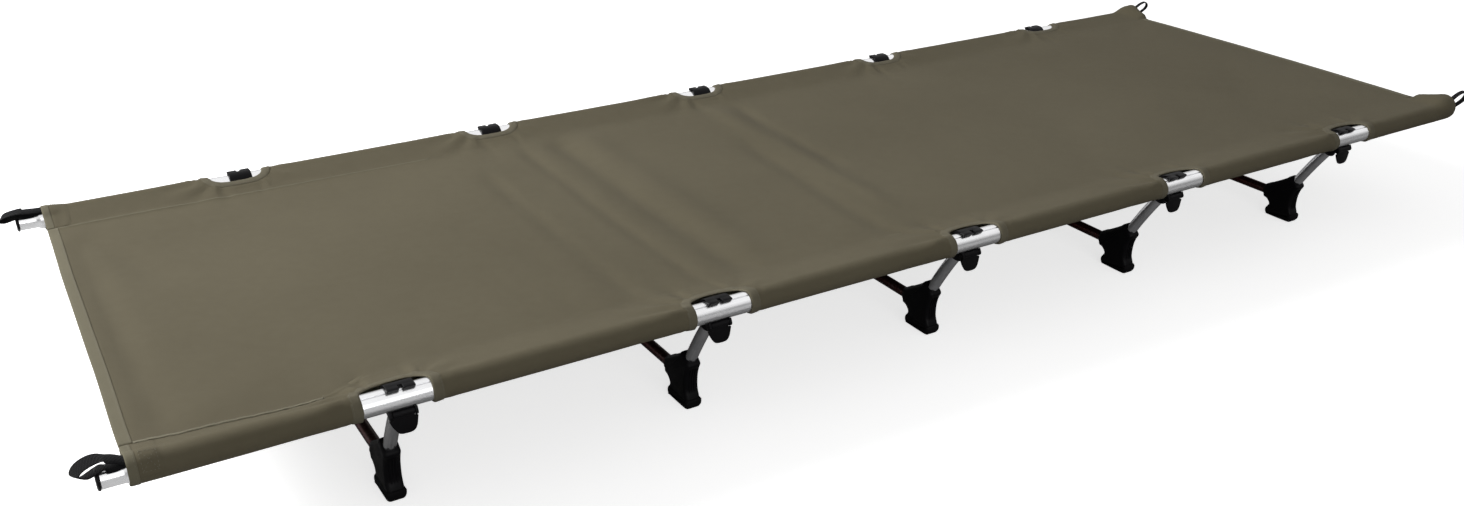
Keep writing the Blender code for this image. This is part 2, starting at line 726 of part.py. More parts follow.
def clip_hook_outline():
    """Hook round the rail, with the tooth of the finger tips that drops in the groove."""
    inner = CLIP_INNER
    outer = inner + CLIP_WALL
    tooth = CLIP_TOOTH_WIDTH / 2 / RAIL_RADIUS
    depth = RAIL_RADIUS - GROOVE_DEPTH + GAP
    points = arc(outer, CLIP_TIP_ANGLE, CLIP_LOWER_ANGLE, CLIP_STEPS)
    after_tooth = GROOVE_ANGLE + 2 * tooth
    points += arc(inner, CLIP_LOWER_ANGLE, after_tooth, CLIP_STEPS)
    points += [polar(inner, GROOVE_ANGLE + tooth), polar(depth, GROOVE_ANGLE + tooth * 0.8)]
    points += [polar(depth, GROOVE_ANGLE - tooth * 0.8), polar(inner, GROOVE_ANGLE - tooth)]
    points += [polar(inner, CLIP_TIP_ANGLE)]
    return points


def ear_outline():
    """Side plate that carries the lever's pin and runs up into the hook's lower end."""
    inner = CLIP_INNER
    spread = math.radians(15)
    points = arc(EAR_RADIUS, math.radians(-150), math.radians(10), 5, pin_place())
    points += arc(inner, PIN_ANGLE + spread, PIN_ANGLE - spread, 2)
    points.append(polar(inner + CLIP_WALL / 2, CLIP_LOWER_ANGLE - spread * 1.3))
    points.append(polar(inner + CLIP_WALL * 0.9, CLIP_LOWER_ANGLE - spread * 1.1))
    return points


def clip_mesh():
    mesh = mesh_from_bmesh(along_x(clip_hook_outline(), -CLIP_WIDTH / 2, CLIP_WIDTH / 2), "clip")
    boss_radius = UPRIGHT_RADIUS + TUNNEL_CLEARANCE + SOCKET_WALL
    boss = rod_along_y(boss_radius, CLIP_INNER + CLIP_WALL / 2, CLIP_SOCKET_LENGTH, 0)
    boss.transform(Matrix.Rotation(UPRIGHT_LEAN + math.pi, 4, "X"))
    mesh = boolean(mesh, boss, "UNION")
    for sign in SIDES.values():
        low, high = sorted((sign * (CLIP_WIDTH / 2 - EAR_THICKNESS), sign * (CLIP_WIDTH / 2 - GAP / 3)))
        ear = mesh_from_bmesh(along_x(ear_outline(), low, high), "ear")
        mesh = boolean(mesh, ear, "UNION")
    holes = along_x(circle(PIN_RADIUS + GAP, PIN_SIDES, pin_place()), -CLIP_WIDTH, CLIP_WIDTH)
    mesh = boolean(mesh, mesh_from_bmesh(holes, "pin_holes"), "DIFFERENCE")
    depth = CLIP_INNER + CLIP_WALL
    wedge = [(0.0, RAIL_RADIUS * 0.7), (2 * depth, RAIL_RADIUS * 0.2), (2 * depth, 2 * depth)]
    wedge.append(polar(depth + CLIP_WALL, FINGER_SLOT_END_ANGLE))
    slot = along_x(wedge, -FINGER_SLOT / 2, FINGER_SLOT / 2)
    mesh = boolean(mesh, mesh_from_bmesh(slot, "slot"), "DIFFERENCE")
    bore = bowed_rod(UPRIGHT_RADIUS + TUNNEL_CLEARANCE, 0, extra_high=GAP)
    mesh = boolean(mesh, bore, "DIFFERENCE")
    smooth_round_faces(mesh)
    return mesh


def tab_outline():
    """Front view of a lever below its pin, as (x, z), with one side cut slanting."""
    neck = CLIP_WIDTH / 2 - EAR_THICKNESS - GAP
    wide = TAB_HALF_WIDTH
    foot = TAB_LENGTH
    return [
        (neck, 0.0),
        (neck, -TAB_SHOULDER),
        (wide, -TAB_SHOULDER),
        (wide * 0.46, -foot * 0.90),
        (wide * 0.30, -foot * 0.975),
        (wide * 0.08, -foot),
        (-wide * 0.42, -foot),
        (-wide * 0.66, -foot * 0.94),
        (-wide * 0.84, -foot * 0.76),
        (-wide * 0.95, -foot * 0.40),
        (-wide, -TAB_SHOULDER),
        (-neck, -TAB_SHOULDER),
        (-neck, 0.0),
    ]


def lever_mesh():
    """Cam barrel and hanging tab. The origin is on the pin's axis."""
    neck = CLIP_WIDTH / 2 - EAR_THICKNESS - GAP
    cam_centre = polar(CAM_ECCENTRICITY, PIN_ANGLE + math.pi)
    barrel = mesh_from_bmesh(along_x(circle(CAM_RADIUS, CAM_SIDES, cam_centre), -neck, neck), "lever")
    bm = bmesh.new()
    back = -TAB_THICKNESS / 2
    face = bm.faces.new([bm.verts.new((x, back, z)) for x, z in tab_outline()])
    sweep = bmesh.ops.extrude_face_region(bm, geom=[face])
    moved = [item for item in sweep["geom"] if isinstance(item, bmesh.types.BMVert)]
    bmesh.ops.translate(bm, verts=moved, vec=(0, TAB_THICKNESS, 0))
    tab = mesh_from_bmesh(bm, "tab")
    mesh = boolean(barrel, tab, "UNION")
    pins = along_x(circle(PIN_RADIUS, PIN_SIDES), -CLIP_WIDTH / 2, CLIP_WIDTH / 2)
    mesh = boolean(mesh, mesh_from_bmesh(pins, "pins"), "UNION")
    smooth_round_faces(mesh)
    return mesh


def build_legs(materials):
    foot = foot_mesh()
    upright = bowed_rod(UPRIGHT_RADIUS, UPRIGHT_RADIUS - UPRIGHT_WALL)
    smooth_round_faces(upright)
    clip = clip_mesh()
    lever = lever_mesh()
    cross = cross_pole_mesh()
    pin_y, pin_z = pin_place()
    for i in range(LEG_COUNT):
        x = (i - (LEG_COUNT - 1) / 2) * LEG_PITCH
        number = i + 1
        leg = add_empty(f"leg_set_{number}", (x, 0, 0))
        add_object(f"cross_pole_{number}", cross, materials["maroon"], leg)
        for side, sign in SIDES.items():
            turn = 0 if sign > 0 else math.pi
            on_rail = (0, sign * RAIL_AXIS_Y, RAIL_AXIS_Z)
            at_pin = (0, sign * (RAIL_AXIS_Y + pin_y), RAIL_AXIS_Z + pin_z)
            label = f"{side}_{number}"
            add_object(f"foot_{label}", foot, materials["nylon"], leg, turn=turn)
            add_object(f"upright_{label}", upright, materials["upright"], leg, on_rail, turn)
            add_object(f"rail_clip_{label}", clip, materials["nylon"], leg, on_rail, turn)
            add_object(f"release_lever_{label}", lever, materials["nylon"], leg, at_pin, turn)


def build_cot():
    clear_scene()
    materials = {
        "cover": make_material("cover_fabric", COVER_COLOUR, 0.85, 0.0),
        "rail": make_material("rail_aluminium", ALUMINIUM_COLOUR, 0.30, 1.0),
        "upright": make_material("upright_aluminium", UPRIGHT_COLOUR, 0.40, 1.0),
        "maroon": make_material("maroon_anodised", MAROON_COLOUR, 0.35, 0.8),
        "nylon": make_material("black_nylon", BLACK_NYLON_COLOUR, 0.50, 0.0),
        "webbing": make_material("black_webbing", WEBBING_COLOUR, 0.90, 0.0),
    }
    build_rails(materials["rail"])
    build_cover(materials["cover"])
    build_webbing(materials["webbing"])
    build_legs(materials)


if __name__ == "__main__":
    build_cot()
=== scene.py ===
from math import acos, atan2, ceil, copysign, cos, degrees, exp, hypot, pi, radians, sin, sqrt

import bmesh
import bpy
from mathutils import Matrix, Vector, noise


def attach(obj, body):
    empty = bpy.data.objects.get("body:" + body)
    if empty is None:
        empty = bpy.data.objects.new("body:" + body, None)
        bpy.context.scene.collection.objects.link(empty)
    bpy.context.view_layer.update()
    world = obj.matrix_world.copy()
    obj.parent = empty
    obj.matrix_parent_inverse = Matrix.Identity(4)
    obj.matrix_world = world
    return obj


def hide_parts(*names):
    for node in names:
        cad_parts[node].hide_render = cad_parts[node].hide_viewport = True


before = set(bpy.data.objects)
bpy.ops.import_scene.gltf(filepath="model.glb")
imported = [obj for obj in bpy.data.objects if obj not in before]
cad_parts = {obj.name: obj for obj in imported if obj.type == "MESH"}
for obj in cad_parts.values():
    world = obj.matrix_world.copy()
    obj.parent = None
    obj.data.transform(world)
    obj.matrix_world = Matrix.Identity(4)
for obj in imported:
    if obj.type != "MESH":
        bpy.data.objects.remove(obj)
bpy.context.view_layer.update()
print("frame loaded")

turn = 2 * pi
cot = {  # sizes that several pieces share, in metres
    "railRadius": 0.012,
    "railY": 0.329,
    "railZ": 0.1548,
    "railLeft": -0.988,
    "railRight": 0.976,
    "railEnd": 0.0098,          # radius of the rails' swaged bare ends
    "coverLeft": -0.966,
    "hemRight": 0.957,
    "legPitch": 0.3585,
    "legCount": 5,
    "gap": 0.0003,
}
railY, railZ, railRadius, railLeft = cot["railY"], cot["railZ"], cot["railRadius"], cot["railLeft"]
coverLeft, hemRight, gap = cot["coverLeft"], cot["hemRight"], cot["gap"]
legPlaces = [(i - (cot["legCount"] - 1) / 2) * cot["legPitch"] for i in range(cot["legCount"])]
sides = {"near": -1, "far": 1}


# small helpers for numbers and shapes

def smooth(value):
    value = min(1.0, max(0.0, value))
    return value * value * (3 - 2 * value)


def straight(share):
    return share


def blendPath(points, x, ease=smooth):  # height at x of a line through points, with smooth corners
    if x <= points[0][0]:
        return points[0][1]
    for (x0, y0), (x1, y1) in zip(points, points[1:]):
        if x <= x1:
            return y0 + (y1 - y0) * ease((x - x0) / (x1 - x0))
    return points[-1][1]


def polar(radius, angle, centre=(0.0, 0.0)):
    return (centre[0] + radius * cos(angle), centre[1] + radius * sin(angle))


def arc(radius, start, end, steps, centre=(0.0, 0.0)):
    return [polar(radius, angle, centre) for angle in evenSteps(start, end, steps)]


def circle(radius, count, centre=(0.0, 0.0)):
    return arc(radius, 0.0, turn, count, centre)[:-1]


def onAxis(axis, place, a, b):
    return (place, a, b) if axis == "X" else (a, place, b)


def evenSteps(low, high, count):
    return [low + (high - low) * k / count for k in range(count + 1)]


def curveThrough(points, steps, closed=False):  # Catmull-Rom curve through given points
    count = len(points)
    route = []
    for i in range(count if closed else count - 1):
        places = [i + k for k in (-1, 0, 1, 2)]
        places = [k % count if closed else min(max(k, 0), count - 1) for k in places]
        a, b, c, d = (Vector(points[k]) for k in places)
        for t in (k / steps for k in range(steps)):
            route.append(0.5 * (2 * b + (c - a) * t + (2 * a - 5 * b + 4 * c - d) * t * t
                                + (3 * b - a - 3 * c + d) * t ** 3))
    return route if closed else route + [Vector(points[-1])]


def gridSurface(columns, rows, place, flat):  # a grid whose points go where place says
    bm = bmesh.new()
    bmesh.ops.create_grid(bm, x_segments=columns - 1, y_segments=rows - 1, size=1.0)
    layer = bm.loops.layers.uv.new("flat")
    spots = {}
    for vert in bm.verts:
        i = round((vert.co.x + 1) / 2 * (columns - 1))
        j = round((vert.co.y + 1) / 2 * (rows - 1))
        spots[vert] = (i, j)
    for face in bm.faces:
        for loop in face.loops:
            loop[layer].uv = flat(*spots[loop.vert])
    for vert, (i, j) in spots.items():
        vert.co = place(i, j)
    return bm, spots


def sweptShell(rings, capEnds=True):  # a closed skin through rings with equal point counts
    count = len(rings[0])
    along, around = [0.0], [0.0]
    for low, high in zip(rings, rings[1:]):
        along.append(along[-1] + (Vector(high[0]) - Vector(low[0])).length)
    middle = [Vector(point) for point in rings[len(rings) // 2]]
    for here, after in zip(middle, middle[1:] + middle[:1]):
        around.append(around[-1] + (after - here).length)
    bm, _ = gridSurface(len(rings), count + 1, lambda i, j: rings[i][j % count],
                        lambda i, j: (along[i], around[j]))
    bmesh.ops.remove_doubles(bm, verts=bm.verts, dist=1e-7)
    if capEnds:
        rims = [edge for edge in bm.edges if len(edge.link_faces) == 1]
        bmesh.ops.holes_fill(bm, edges=rims, sides=0)
    bmesh.ops.recalc_face_normals(bm, faces=bm.faces)
    return bm


def turned(stops, count, centre=(0.0, 0.0), axis="X", capEnds=True):  # round form, stops are (place, radius)
    return sweptShell([[onAxis(axis, place, a, b) for a, b in circle(radius, count, centre)]
                       for place, radius in stops], capEnds)


def addPrism(bm, outline, low, high, bevel, axis="X", segments=3):  # outline swept along an axis
    face = bm.faces.new([bm.verts.new(onAxis(axis, low, a, b)) for a, b in outline])
    sweep = bmesh.ops.extrude_face_region(bm, geom=[face])["geom"]
    moved = [item for item in sweep if isinstance(item, bmesh.types.BMVert)]
    far = [item for item in sweep if isinstance(item, bmesh.types.BMFace)]
    bmesh.ops.translate(bm, verts=moved, vec=onAxis(axis, high - low, 0, 0))
    bmesh.ops.recalc_face_normals(bm, faces=list({f for v in moved for f in v.link_faces} | {face}))
    rims = list({edge for f in [face] + far for edge in f.edges})
    bmesh.ops.bevel(bm, geom=rims, offset=bevel, segments=segments, profile=0.5,
                    affect="EDGES", clamp_overlap=True, material=-1)


def evenly(points, count):  # the same closed outline with equal steps
    loop = [Vector(p) for p in points] + [Vector(points[0])]
    pitch = sum((b - a).length for a, b in zip(loop, loop[1:])) / count
    result, done = [], 0.0
    for a, b in zip(loop, loop[1:]):
        length = (b - a).length
        while len(result) * pitch < done + length and len(result) < count:
            result.append(a.lerp(b, (len(result) * pitch - done) / length))
        done += length
    return result


def neighbours(points):  # each point of a closed outline, between the one before and the one after
    return zip(points[-1:] + points[:-1], points, points[1:] + points[:1])


def shrunk(points, amount):  # outline moved inwards in small steps, so that it never crosses itself
    area = sum(b.cross(c) for a, b, c in neighbours(points))
    steps = max(1, ceil(amount / 0.0005))
    step = copysign(amount / steps, area)
    for _ in range(steps):
        moved = []
        for before, point, after in neighbours(points):
            along = (after - before).normalized()
            moved.append(point + Vector((-along.y, along.x)) * step)
        points = [b * 0.8 + (a + c) * 0.1 for a, b, c in neighbours(moved)]
    return points


def roundedPrism(outline, half, radius, count, steps=5):  # outline swept along x with full round rims
    base = evenly(outline, count)
    rims = []
    for angle in evenSteps(0.0, pi / 2, steps):
        ring = shrunk(base, radius * (1 - cos(angle))) if angle else base
        rims.append((half - radius + radius * sin(angle), ring))
    return sweptShell([[(-x, *p) for p in ring] for x, ring in reversed(rims)]
                      + [[(x, *p) for p in ring] for x, ring in rims])


def joinInto(bm, other):  # copy one bmesh into another
    spare = bpy.data.meshes.new("spare")
    other.to_mesh(spare)
    other.free()
    bm.from_mesh(spare)
    bpy.data.meshes.remove(spare)


def addPiece(name, bm, finish, replaced=None, body="cot_frame", sharp=38, place=None):
    if place is not None:
        bm.transform(place)
    mesh = bpy.data.meshes.new(name)
    bm.to_mesh(mesh)
    bm.free()
    mesh.materials.append(materials[finish])
    mesh.shade_smooth()
    mesh.set_sharp_from_angle(angle=radians(sharp))
    piece = bpy.data.objects.new(name, mesh)
    bpy.context.scene.collection.objects.link(piece)
    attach(piece, body)
    if replaced:
        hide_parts(replaced)
    return piece


def solidify(piece, thickness):
    wall = piece.modifiers.new("wall", "SOLIDIFY")
    wall.thickness = thickness
    wall.offset = 0.0
    return piece


def legPlace(number, sign, onRail=True):  # where a leg piece's own coordinates go
    spot = Vector((legPlaces[number], sign * railY if onRail else 0, railZ if onRail else 0))
    return Matrix.Translation(spot) @ Matrix.Rotation(0 if sign > 0 else pi, 4, "Z")


# shader node groups, each used by several materials

def plug(value, socket):
    if isinstance(value, bpy.types.NodeSocket):
        socket.id_data.links.new(value, socket)
    else:
        socket.default_value = value


def addNode(kind, *values, **sockets):  # a node in the tree of the first socket among its values
    given = [*values, *sockets.values()]
    tree = next(value.id_data for value in given if isinstance(value, bpy.types.NodeSocket))
    node = tree.nodes.new("ShaderNode" + kind)
    for value, socket in zip(values, node.inputs):
        plug(value, socket)
    for label, value in sockets.items():
        plug(value, node.inputs[label])
    return node


def maths(operation, *values):
    node = addNode("Math", *values)
    node.operation = operation
    return node.outputs[0]


def mixColours(factor, first, second):
    node = addNode("Mix", factor)
    node.data_type = "RGBA"
    plug(first, node.inputs[6])
    plug(second, node.inputs[7])
    return node.outputs[2]


def spread(value, low, high, newLow, newHigh):
    return addNode("MapRange", value, low, high, newLow, newHigh).outputs[0]


def scaled(vector, scale):
    node = addNode("VectorMath", vector, scale)
    node.operation = "MULTIPLY"
    return node.outputs[0]


def cloudy(vector, scale, detail=3.0, roughness=0.55):
    return addNode("TexNoise", Vector=vector, Scale=scale, Detail=detail, Roughness=roughness).outputs[0]


def newGroup(name, inputs, outputs):  # an input without a value is a vector, all others are numbers
    tree = bpy.data.node_groups.new(name, "ShaderNodeTree")
    for label, value in inputs.items():
        kind = "NodeSocketVector" if value is None else "NodeSocketFloat"
        socket = tree.interface.new_socket(name=label, in_out="INPUT", socket_type=kind)
        if value is not None:
            socket.default_value = value
    for label in outputs:
        tree.interface.new_socket(name=label, in_out="OUTPUT", socket_type="NodeSocketFloat")
    return tree, tree.nodes.new("NodeGroupInput").outputs, tree.nodes.new("NodeGroupOutput").inputs


def makeWeaveGroup():  # plain weave: threads pass over and under each other like a chessboard
    inputs = {"Vector": None, "Warp": 1600.0, "Weft": 1400.0, "Slub": 0.3}
    tree, given, result = newGroup("plainWeave", inputs, ("Height", "ValleyShade", "Thread"))
    parts = addNode("SeparateXYZ", given["Vector"])
    across = maths("MULTIPLY", parts.outputs[0], given["Warp"])
    down = maths("MULTIPLY", parts.outputs[1], given["Weft"])
    ridges = [maths("ABSOLUTE", maths("SINE", maths("MULTIPLY", v, pi))) for v in (across, down)]
    cell = maths("ADD", maths("FLOOR", across), maths("FLOOR", down))
    over = maths("ABSOLUTE", maths("MODULO", cell, 2.0))
    under = maths("SUBTRACT", 1.0, over)
    weave = maths("ADD", maths("MULTIPLY", ridges[0], over), maths("MULTIPLY", ridges[1], under))
    slubs = cloudy(scaled(given["Vector"], (900.0, 60.0, 1.0)), 1.0, 2.0)
    slubs = maths("MULTIPLY", maths("SUBTRACT", slubs, 0.5), given["Slub"])
    plug(maths("ADD", weave, slubs), result["Height"])
    # ValleyShade marks the gaps between threads, which the cloth materials darken as painted shade
    plug(maths("SUBTRACT", 1.0, maths("MAXIMUM", *ridges)), result["ValleyShade"])
    plug(slubs, result["Thread"])
    return tree


def makeMottleGroup():  # slow changes of shade, with a finer speckle in it
    tree, given, result = newGroup("mottle", {"Vector": None, "Scale": 4.0, "Fine": 60.0}, ["Value"])
    slow = cloudy(given["Vector"], given["Scale"], 4.0)
    fine = cloudy(given["Vector"], given["Fine"], 2.0)
    both = maths("ADD", maths("MULTIPLY", slow, 0.75), maths("MULTIPLY", fine, 0.25))
    plug(spread(both, 0.32, 0.68, 0.0, 1.0), result["Value"])
    return tree


def makeWearHollowShadeGroup():  # rubbed edges, broken up so that no edge is worn evenly, and a mask of hollows for painted shade
    inputs = {"Vector": None, "Start": 0.53, "Break": 220.0}
    tree, given, result = newGroup("edgeWearHollowShade", inputs, ("Mask", "HollowShade"))
    shape = tree.nodes.new("ShaderNodeNewGeometry")
    edge = spread(shape.outputs["Pointiness"], given["Start"], maths("ADD", given["Start"], 0.09), 0.0, 1.0)
    broken = spread(cloudy(given["Vector"], given["Break"], 3.0), 0.42, 0.62, 0.0, 1.0)
    plug(maths("MULTIPLY", edge, broken), result["Mask"])
    # HollowShade marks hollows, such as the rails' groove, that the metals darken as painted shade
    plug(spread(shape.outputs["Pointiness"], 0.47, 0.38, 0.0, 1.0), result["HollowShade"])
    return tree


def makeGrainGroup():  # fine pebbled texture of moulded plastic
    tree, given, result = newGroup("mouldGrain", {"Vector": None, "Scale": 1500.0}, ("Height", "Value"))
    cells = addNode("TexVoronoi", Vector=given["Vector"], Scale=given["Scale"])
    soft = cloudy(given["Vector"], maths("MULTIPLY", given["Scale"], 0.4), 2.0)
    height = maths("ADD", maths("MULTIPLY", cells.outputs["Distance"], 0.6),
                   maths("MULTIPLY", soft, 0.4))
    plug(height, result["Height"])
    plug(cloudy(given["Vector"], 45.0, 4.0), result["Value"])
    return tree


def makeDrawnGroup():  # faint lines along a drawn tube, with a few handling marks
    tree, given, result = newGroup("drawnMetal", {"Vector": None, "Stretch": None}, ("Lines", "Marks"))
    lines = cloudy(scaled(given["Vector"], given["Stretch"]), 1.0, 5.0, 0.7)
    marks = cloudy(given["Vector"], 38.0, 5.0, 0.65)
    plug(lines, result["Lines"])
    plug(spread(marks, 0.45, 0.75, 0.0, 1.0), result["Marks"])
    return tree


weaveGroup = makeWeaveGroup()
mottleGroup = makeMottleGroup()
wearHollowShadeGroup = makeWearHollowShadeGroup()
grainGroup = makeGrainGroup()
drawnGroup = makeDrawnGroup()
print("shader groups ready")


# materials

def useGroup(group, vector, **values):
    node = vector.id_data.nodes.new("ShaderNodeGroup")
    node.node_tree = group
    plug(vector, node.inputs["Vector"])
    for label, value in values.items():
        plug(value, node.inputs[label])
    return node.outputs


def newMaterial(name, **sockets):
    material = bpy.data.materials.new(name)
    material.use_nodes = True
    tree = material.node_tree
    shader = tree.nodes["Principled BSDF"]
    for label, value in sockets.items():
        shader.inputs[label.replace("_", " ")].default_value = value
    return material, tree, shader


def flatCoords(tree):
    node = tree.nodes.new("ShaderNodeUVMap")
    node.uv_map = "flat"
    return node.outputs[0]


def objectCoords(tree):
    return tree.nodes.new("ShaderNodeTexCoord").outputs["Object"]


def bump(shader, height, distance, strength=1.0):
    node = addNode("Bump", Height=height, Distance=distance, Strength=strength)
    plug(node.outputs[0], shader.inputs["Normal"])


clothLooks = {  # name: dark, light, warp and weft threads per metre, bump distance, sheen
    "coverFabric": ((0.132, 0.115, 0.074), (0.172, 0.151, 0.1), 1750, 1500, 0.0001, 0.03),
    # the hems are the cover's own cloth painted lighter, a painted highlight for the light that their curled
    # folds catch
    "hemFabricPaintedLight": ((0.172, 0.156, 0.106), (0.218, 0.199, 0.138), 1750, 1500, 0.0001, 0.05),
    "bindingTape": ((0.15, 0.134, 0.092), (0.205, 0.185, 0.13), 1300, 1300, 0.00014, 0.04),
    # the seam's pale strip: its colour is a painted highlight for the light on the raised seam
    "seamHighlightTape": ((0.29, 0.268, 0.195), (0.35, 0.325, 0.24), 1300, 1300, 0.00012, 0.05),
    "blackWebbing": ((0.004, 0.004, 0.0048), (0.0115, 0.0115, 0.0135), 700, 520, 0.0003, 0.05),
}


def makeCloth(name):
    dark, light, warp, weft, depth, sheen = clothLooks[name]
    material, tree, shader = newMaterial(name, Roughness=0.9, Sheen_Weight=sheen, Sheen_Roughness=0.5,
                                         Specular_IOR_Level=0.12)
    coords = flatCoords(tree)
    weave = useGroup(weaveGroup, coords, Warp=float(warp), Weft=float(weft), Slub=0.35)
    patches = useGroup(mottleGroup, coords, Scale=3.2, Fine=75.0)
    tone = maths("ADD", maths("MULTIPLY", weave["Height"], 0.35),
                 maths("MULTIPLY", patches["Value"], 0.65))
    colour = mixColours(tone, (*dark, 1), (*light, 1))
    # painted shade: the gaps between threads are darkened in the colour
    paintedValleyShade = mixColours(maths("MULTIPLY", weave["ValleyShade"], 0.55), colour,
                       (*[c * 0.45 for c in dark], 1))
    plug(paintedValleyShade, shader.inputs["Base Color"])
    rough = spread(weave["Thread"], -0.15, 0.15, 0.84, 0.96)
    plug(rough, shader.inputs["Roughness"])
    bump(shader, weave["Height"], depth)
    return material


metalLooks = {  # name: dull, bright, smoothest, roughest, how the drawn lines stretch, metallic
    "railAluminium": ((0.82, 0.82, 0.83), (0.93, 0.93, 0.94), 0.2, 0.32, (6.0, 900.0, 900.0), 1.0),
    "uprightAluminium": ((0.64, 0.64, 0.66), (0.86, 0.86, 0.88), 0.12, 0.24, (900.0, 60.0, 60.0), 1.0),
    "maroonAnodised": ((0.036, 0.007, 0.007), (0.085, 0.016, 0.014), 0.24, 0.42, (900.0, 6.0, 900.0), 0.85),
}


def makeMetal(name):
    dull, bright, finest, coarsest, stretch, metallic = metalLooks[name]
    material, tree, shader = newMaterial(name, Metallic=metallic)
    coords = objectCoords(tree)
    drawn = useGroup(drawnGroup, coords, Stretch=stretch)
    wornAndShaded = useGroup(wearHollowShadeGroup, coords, Start=0.54, Break=300.0)
    tone = maths("SUBTRACT", drawn["Lines"], maths("MULTIPLY", drawn["Marks"], 0.35))
    colour = mixColours(spread(tone, 0.2, 0.7, 0.0, 1.0), (*dull, 1), (*bright, 1))
    worn = mixColours(maths("MULTIPLY", wornAndShaded["Mask"], 0.5), colour, (0.72, 0.71, 0.7, 1))
    # painted shade: hollows such as the rails' groove are darkened in the colour
    hollowShaded = mixColours(wornAndShaded["HollowShade"], worn, (0.06, 0.06, 0.062, 1))
    plug(hollowShaded, shader.inputs["Base Color"])
    plug(spread(tone, 0.15, 0.75, coarsest, finest), shader.inputs["Roughness"])
    bump(shader, drawn["Lines"], 0.00002)
    return material


plasticLooks = {  # name: body, rubbed edge, grain per metre, grain depth, roughness low and high
    "blackNylon": ((0.0034, 0.0031, 0.0038), (0.014, 0.013, 0.015), 1500.0, 0.00005, 0.34, 0.52),
    "footRubber": ((0.0036, 0.0033, 0.0038), (0.013, 0.012, 0.013), 900.0, 0.0001, 0.6, 0.8),
}


def makePlastic(name):
    body, edge, scale, depth, low, high = plasticLooks[name]
    material, tree, shader = newMaterial(name, Specular_IOR_Level=0.09)
    coords = objectCoords(tree)
    grain = useGroup(grainGroup, coords, Scale=scale)
    wornAndShaded = useGroup(wearHollowShadeGroup, coords, Start=0.54, Break=420.0)
    dust = useGroup(mottleGroup, coords, Scale=30.0, Fine=600.0)
    colour = mixColours(maths("MULTIPLY", dust["Value"], 0.3), (*body, 1),
                        (*[c * 2.2 for c in body], 1))
    worn = mixColours(maths("MULTIPLY", wornAndShaded["Mask"], 0.35), colour, (*edge, 1))
    plug(worn, shader.inputs["Base Color"])
    plug(spread(grain["Value"], 0.3, 0.7, low, high), shader.inputs["Roughness"])
    bump(shader, grain["Height"], depth, 0.6)
    return material


def makeThread():
    material, tree, shader = newMaterial("sewingThread", Specular_IOR_Level=0.3, Sheen_Weight=0.1)
    coords = objectCoords(tree)
    drawn = useGroup(drawnGroup, coords, Stretch=(2500.0, 2500.0, 2500.0))
    colour = mixColours(drawn["Lines"], (0.15, 0.134, 0.092, 1), (0.215, 0.194, 0.138, 1))
    plug(colour, shader.inputs["Base Color"])
    plug(spread(drawn["Marks"], 0.0, 1.0, 0.55, 0.75), shader.inputs["Roughness"])
    return material


materials = {name: makeCloth(name) for name in clothLooks}
materials.update({name: makeMetal(name) for name in metalLooks})
materials.update({name: makePlastic(name) for name in plasticLooks})
materials["sewingThread"] = makeThread()
print("materials ready")


# bed cover: cut flat like a pattern, then laid over the rails

cover = {
    "cloth": 0.0009,            # thickness of the fabric
    "sleeveRadius": 0.0132,     # middle of the cloth round the rail
    "seamY": 0.279,
    "seamZ": 0.1558,
    "seamSoft": (0.0025, 0.015),        # how far the bend at the seam spreads, on the left and elsewhere
    "sag": 0.003,
    "rightCrown": 1.7,          # the sag shrinks and turns into a slight crown at the pocket end,
    "rightRise": 0.0078,        # where the sheet is tighter
    "allowance": 0.009,         # cloth left inside the sleeve's seam
    "mouthLift": 0.0024,        # the strap's two layers lift the sleeve's mouth
    "strapTilt": {"near": 4.0, "far": -7.0},    # degrees the straps lean outwards on the rails
    "hemRoll": 0.0022,          # the left hem curls down
    "pocketSwell": 0.0062,      # how far the sleeve's end swells outwards and upwards
    "pocketPuff": 0.005,
    "tipRadius": 0.0192,
    "tipShift": (-0.003, 0.0055),       # the tip's middle from the rail's, outwards and up
    "pocketTip": 0.977,
    "foldStrength": 1.1,
    "seamWelt": 0.001,
    "seamGather": 0.00022,
    "notchFan": {"near": 0.0017, "far": 0.0009},        # gathers that fan out from the notches' ends
    "notchRing": 0.00035,       # ripples that follow the notches' edges
}
leftEdge = [  # how far the left hem lies inside the cover's longest point, across the bed
    (-0.43, 0.001), (-0.279, 0.001), (-0.1, 0.0032), (0.1, 0.004), (0.279, 0.0062), (0.43, 0.0066),
]
seamPaths = {  # where each seam runs, as (x, distance from the middle)
    "near": [(-0.966, 0.286), (-0.9, 0.293), (-0.81, 0.3), (-0.775, 0.296), (-0.735, 0.28),
             (-0.69, 0.2745), (-0.1, 0.274), (0.957, 0.279)],
    "far": [(-0.966, 0.282), (-0.5, 0.278), (0.957, 0.279)],
}
notch = {
    "halfWidth": 0.0355,
    "top": 0.312,               # inner edge, measured over the cloth from the middle line
    "shoulder": 0.34,
    "heel": 0.376,
    "bottom": 0.401,
    "power": 2.9,
}
notchShifts = {  # how far each notch lies from its leg along the bed
    "near": [-0.0045, 0.003, 0.007, 0.0115, 0.012],
    "far": [-0.005, -0.002, -0.006, -0.003, 0.01],
}
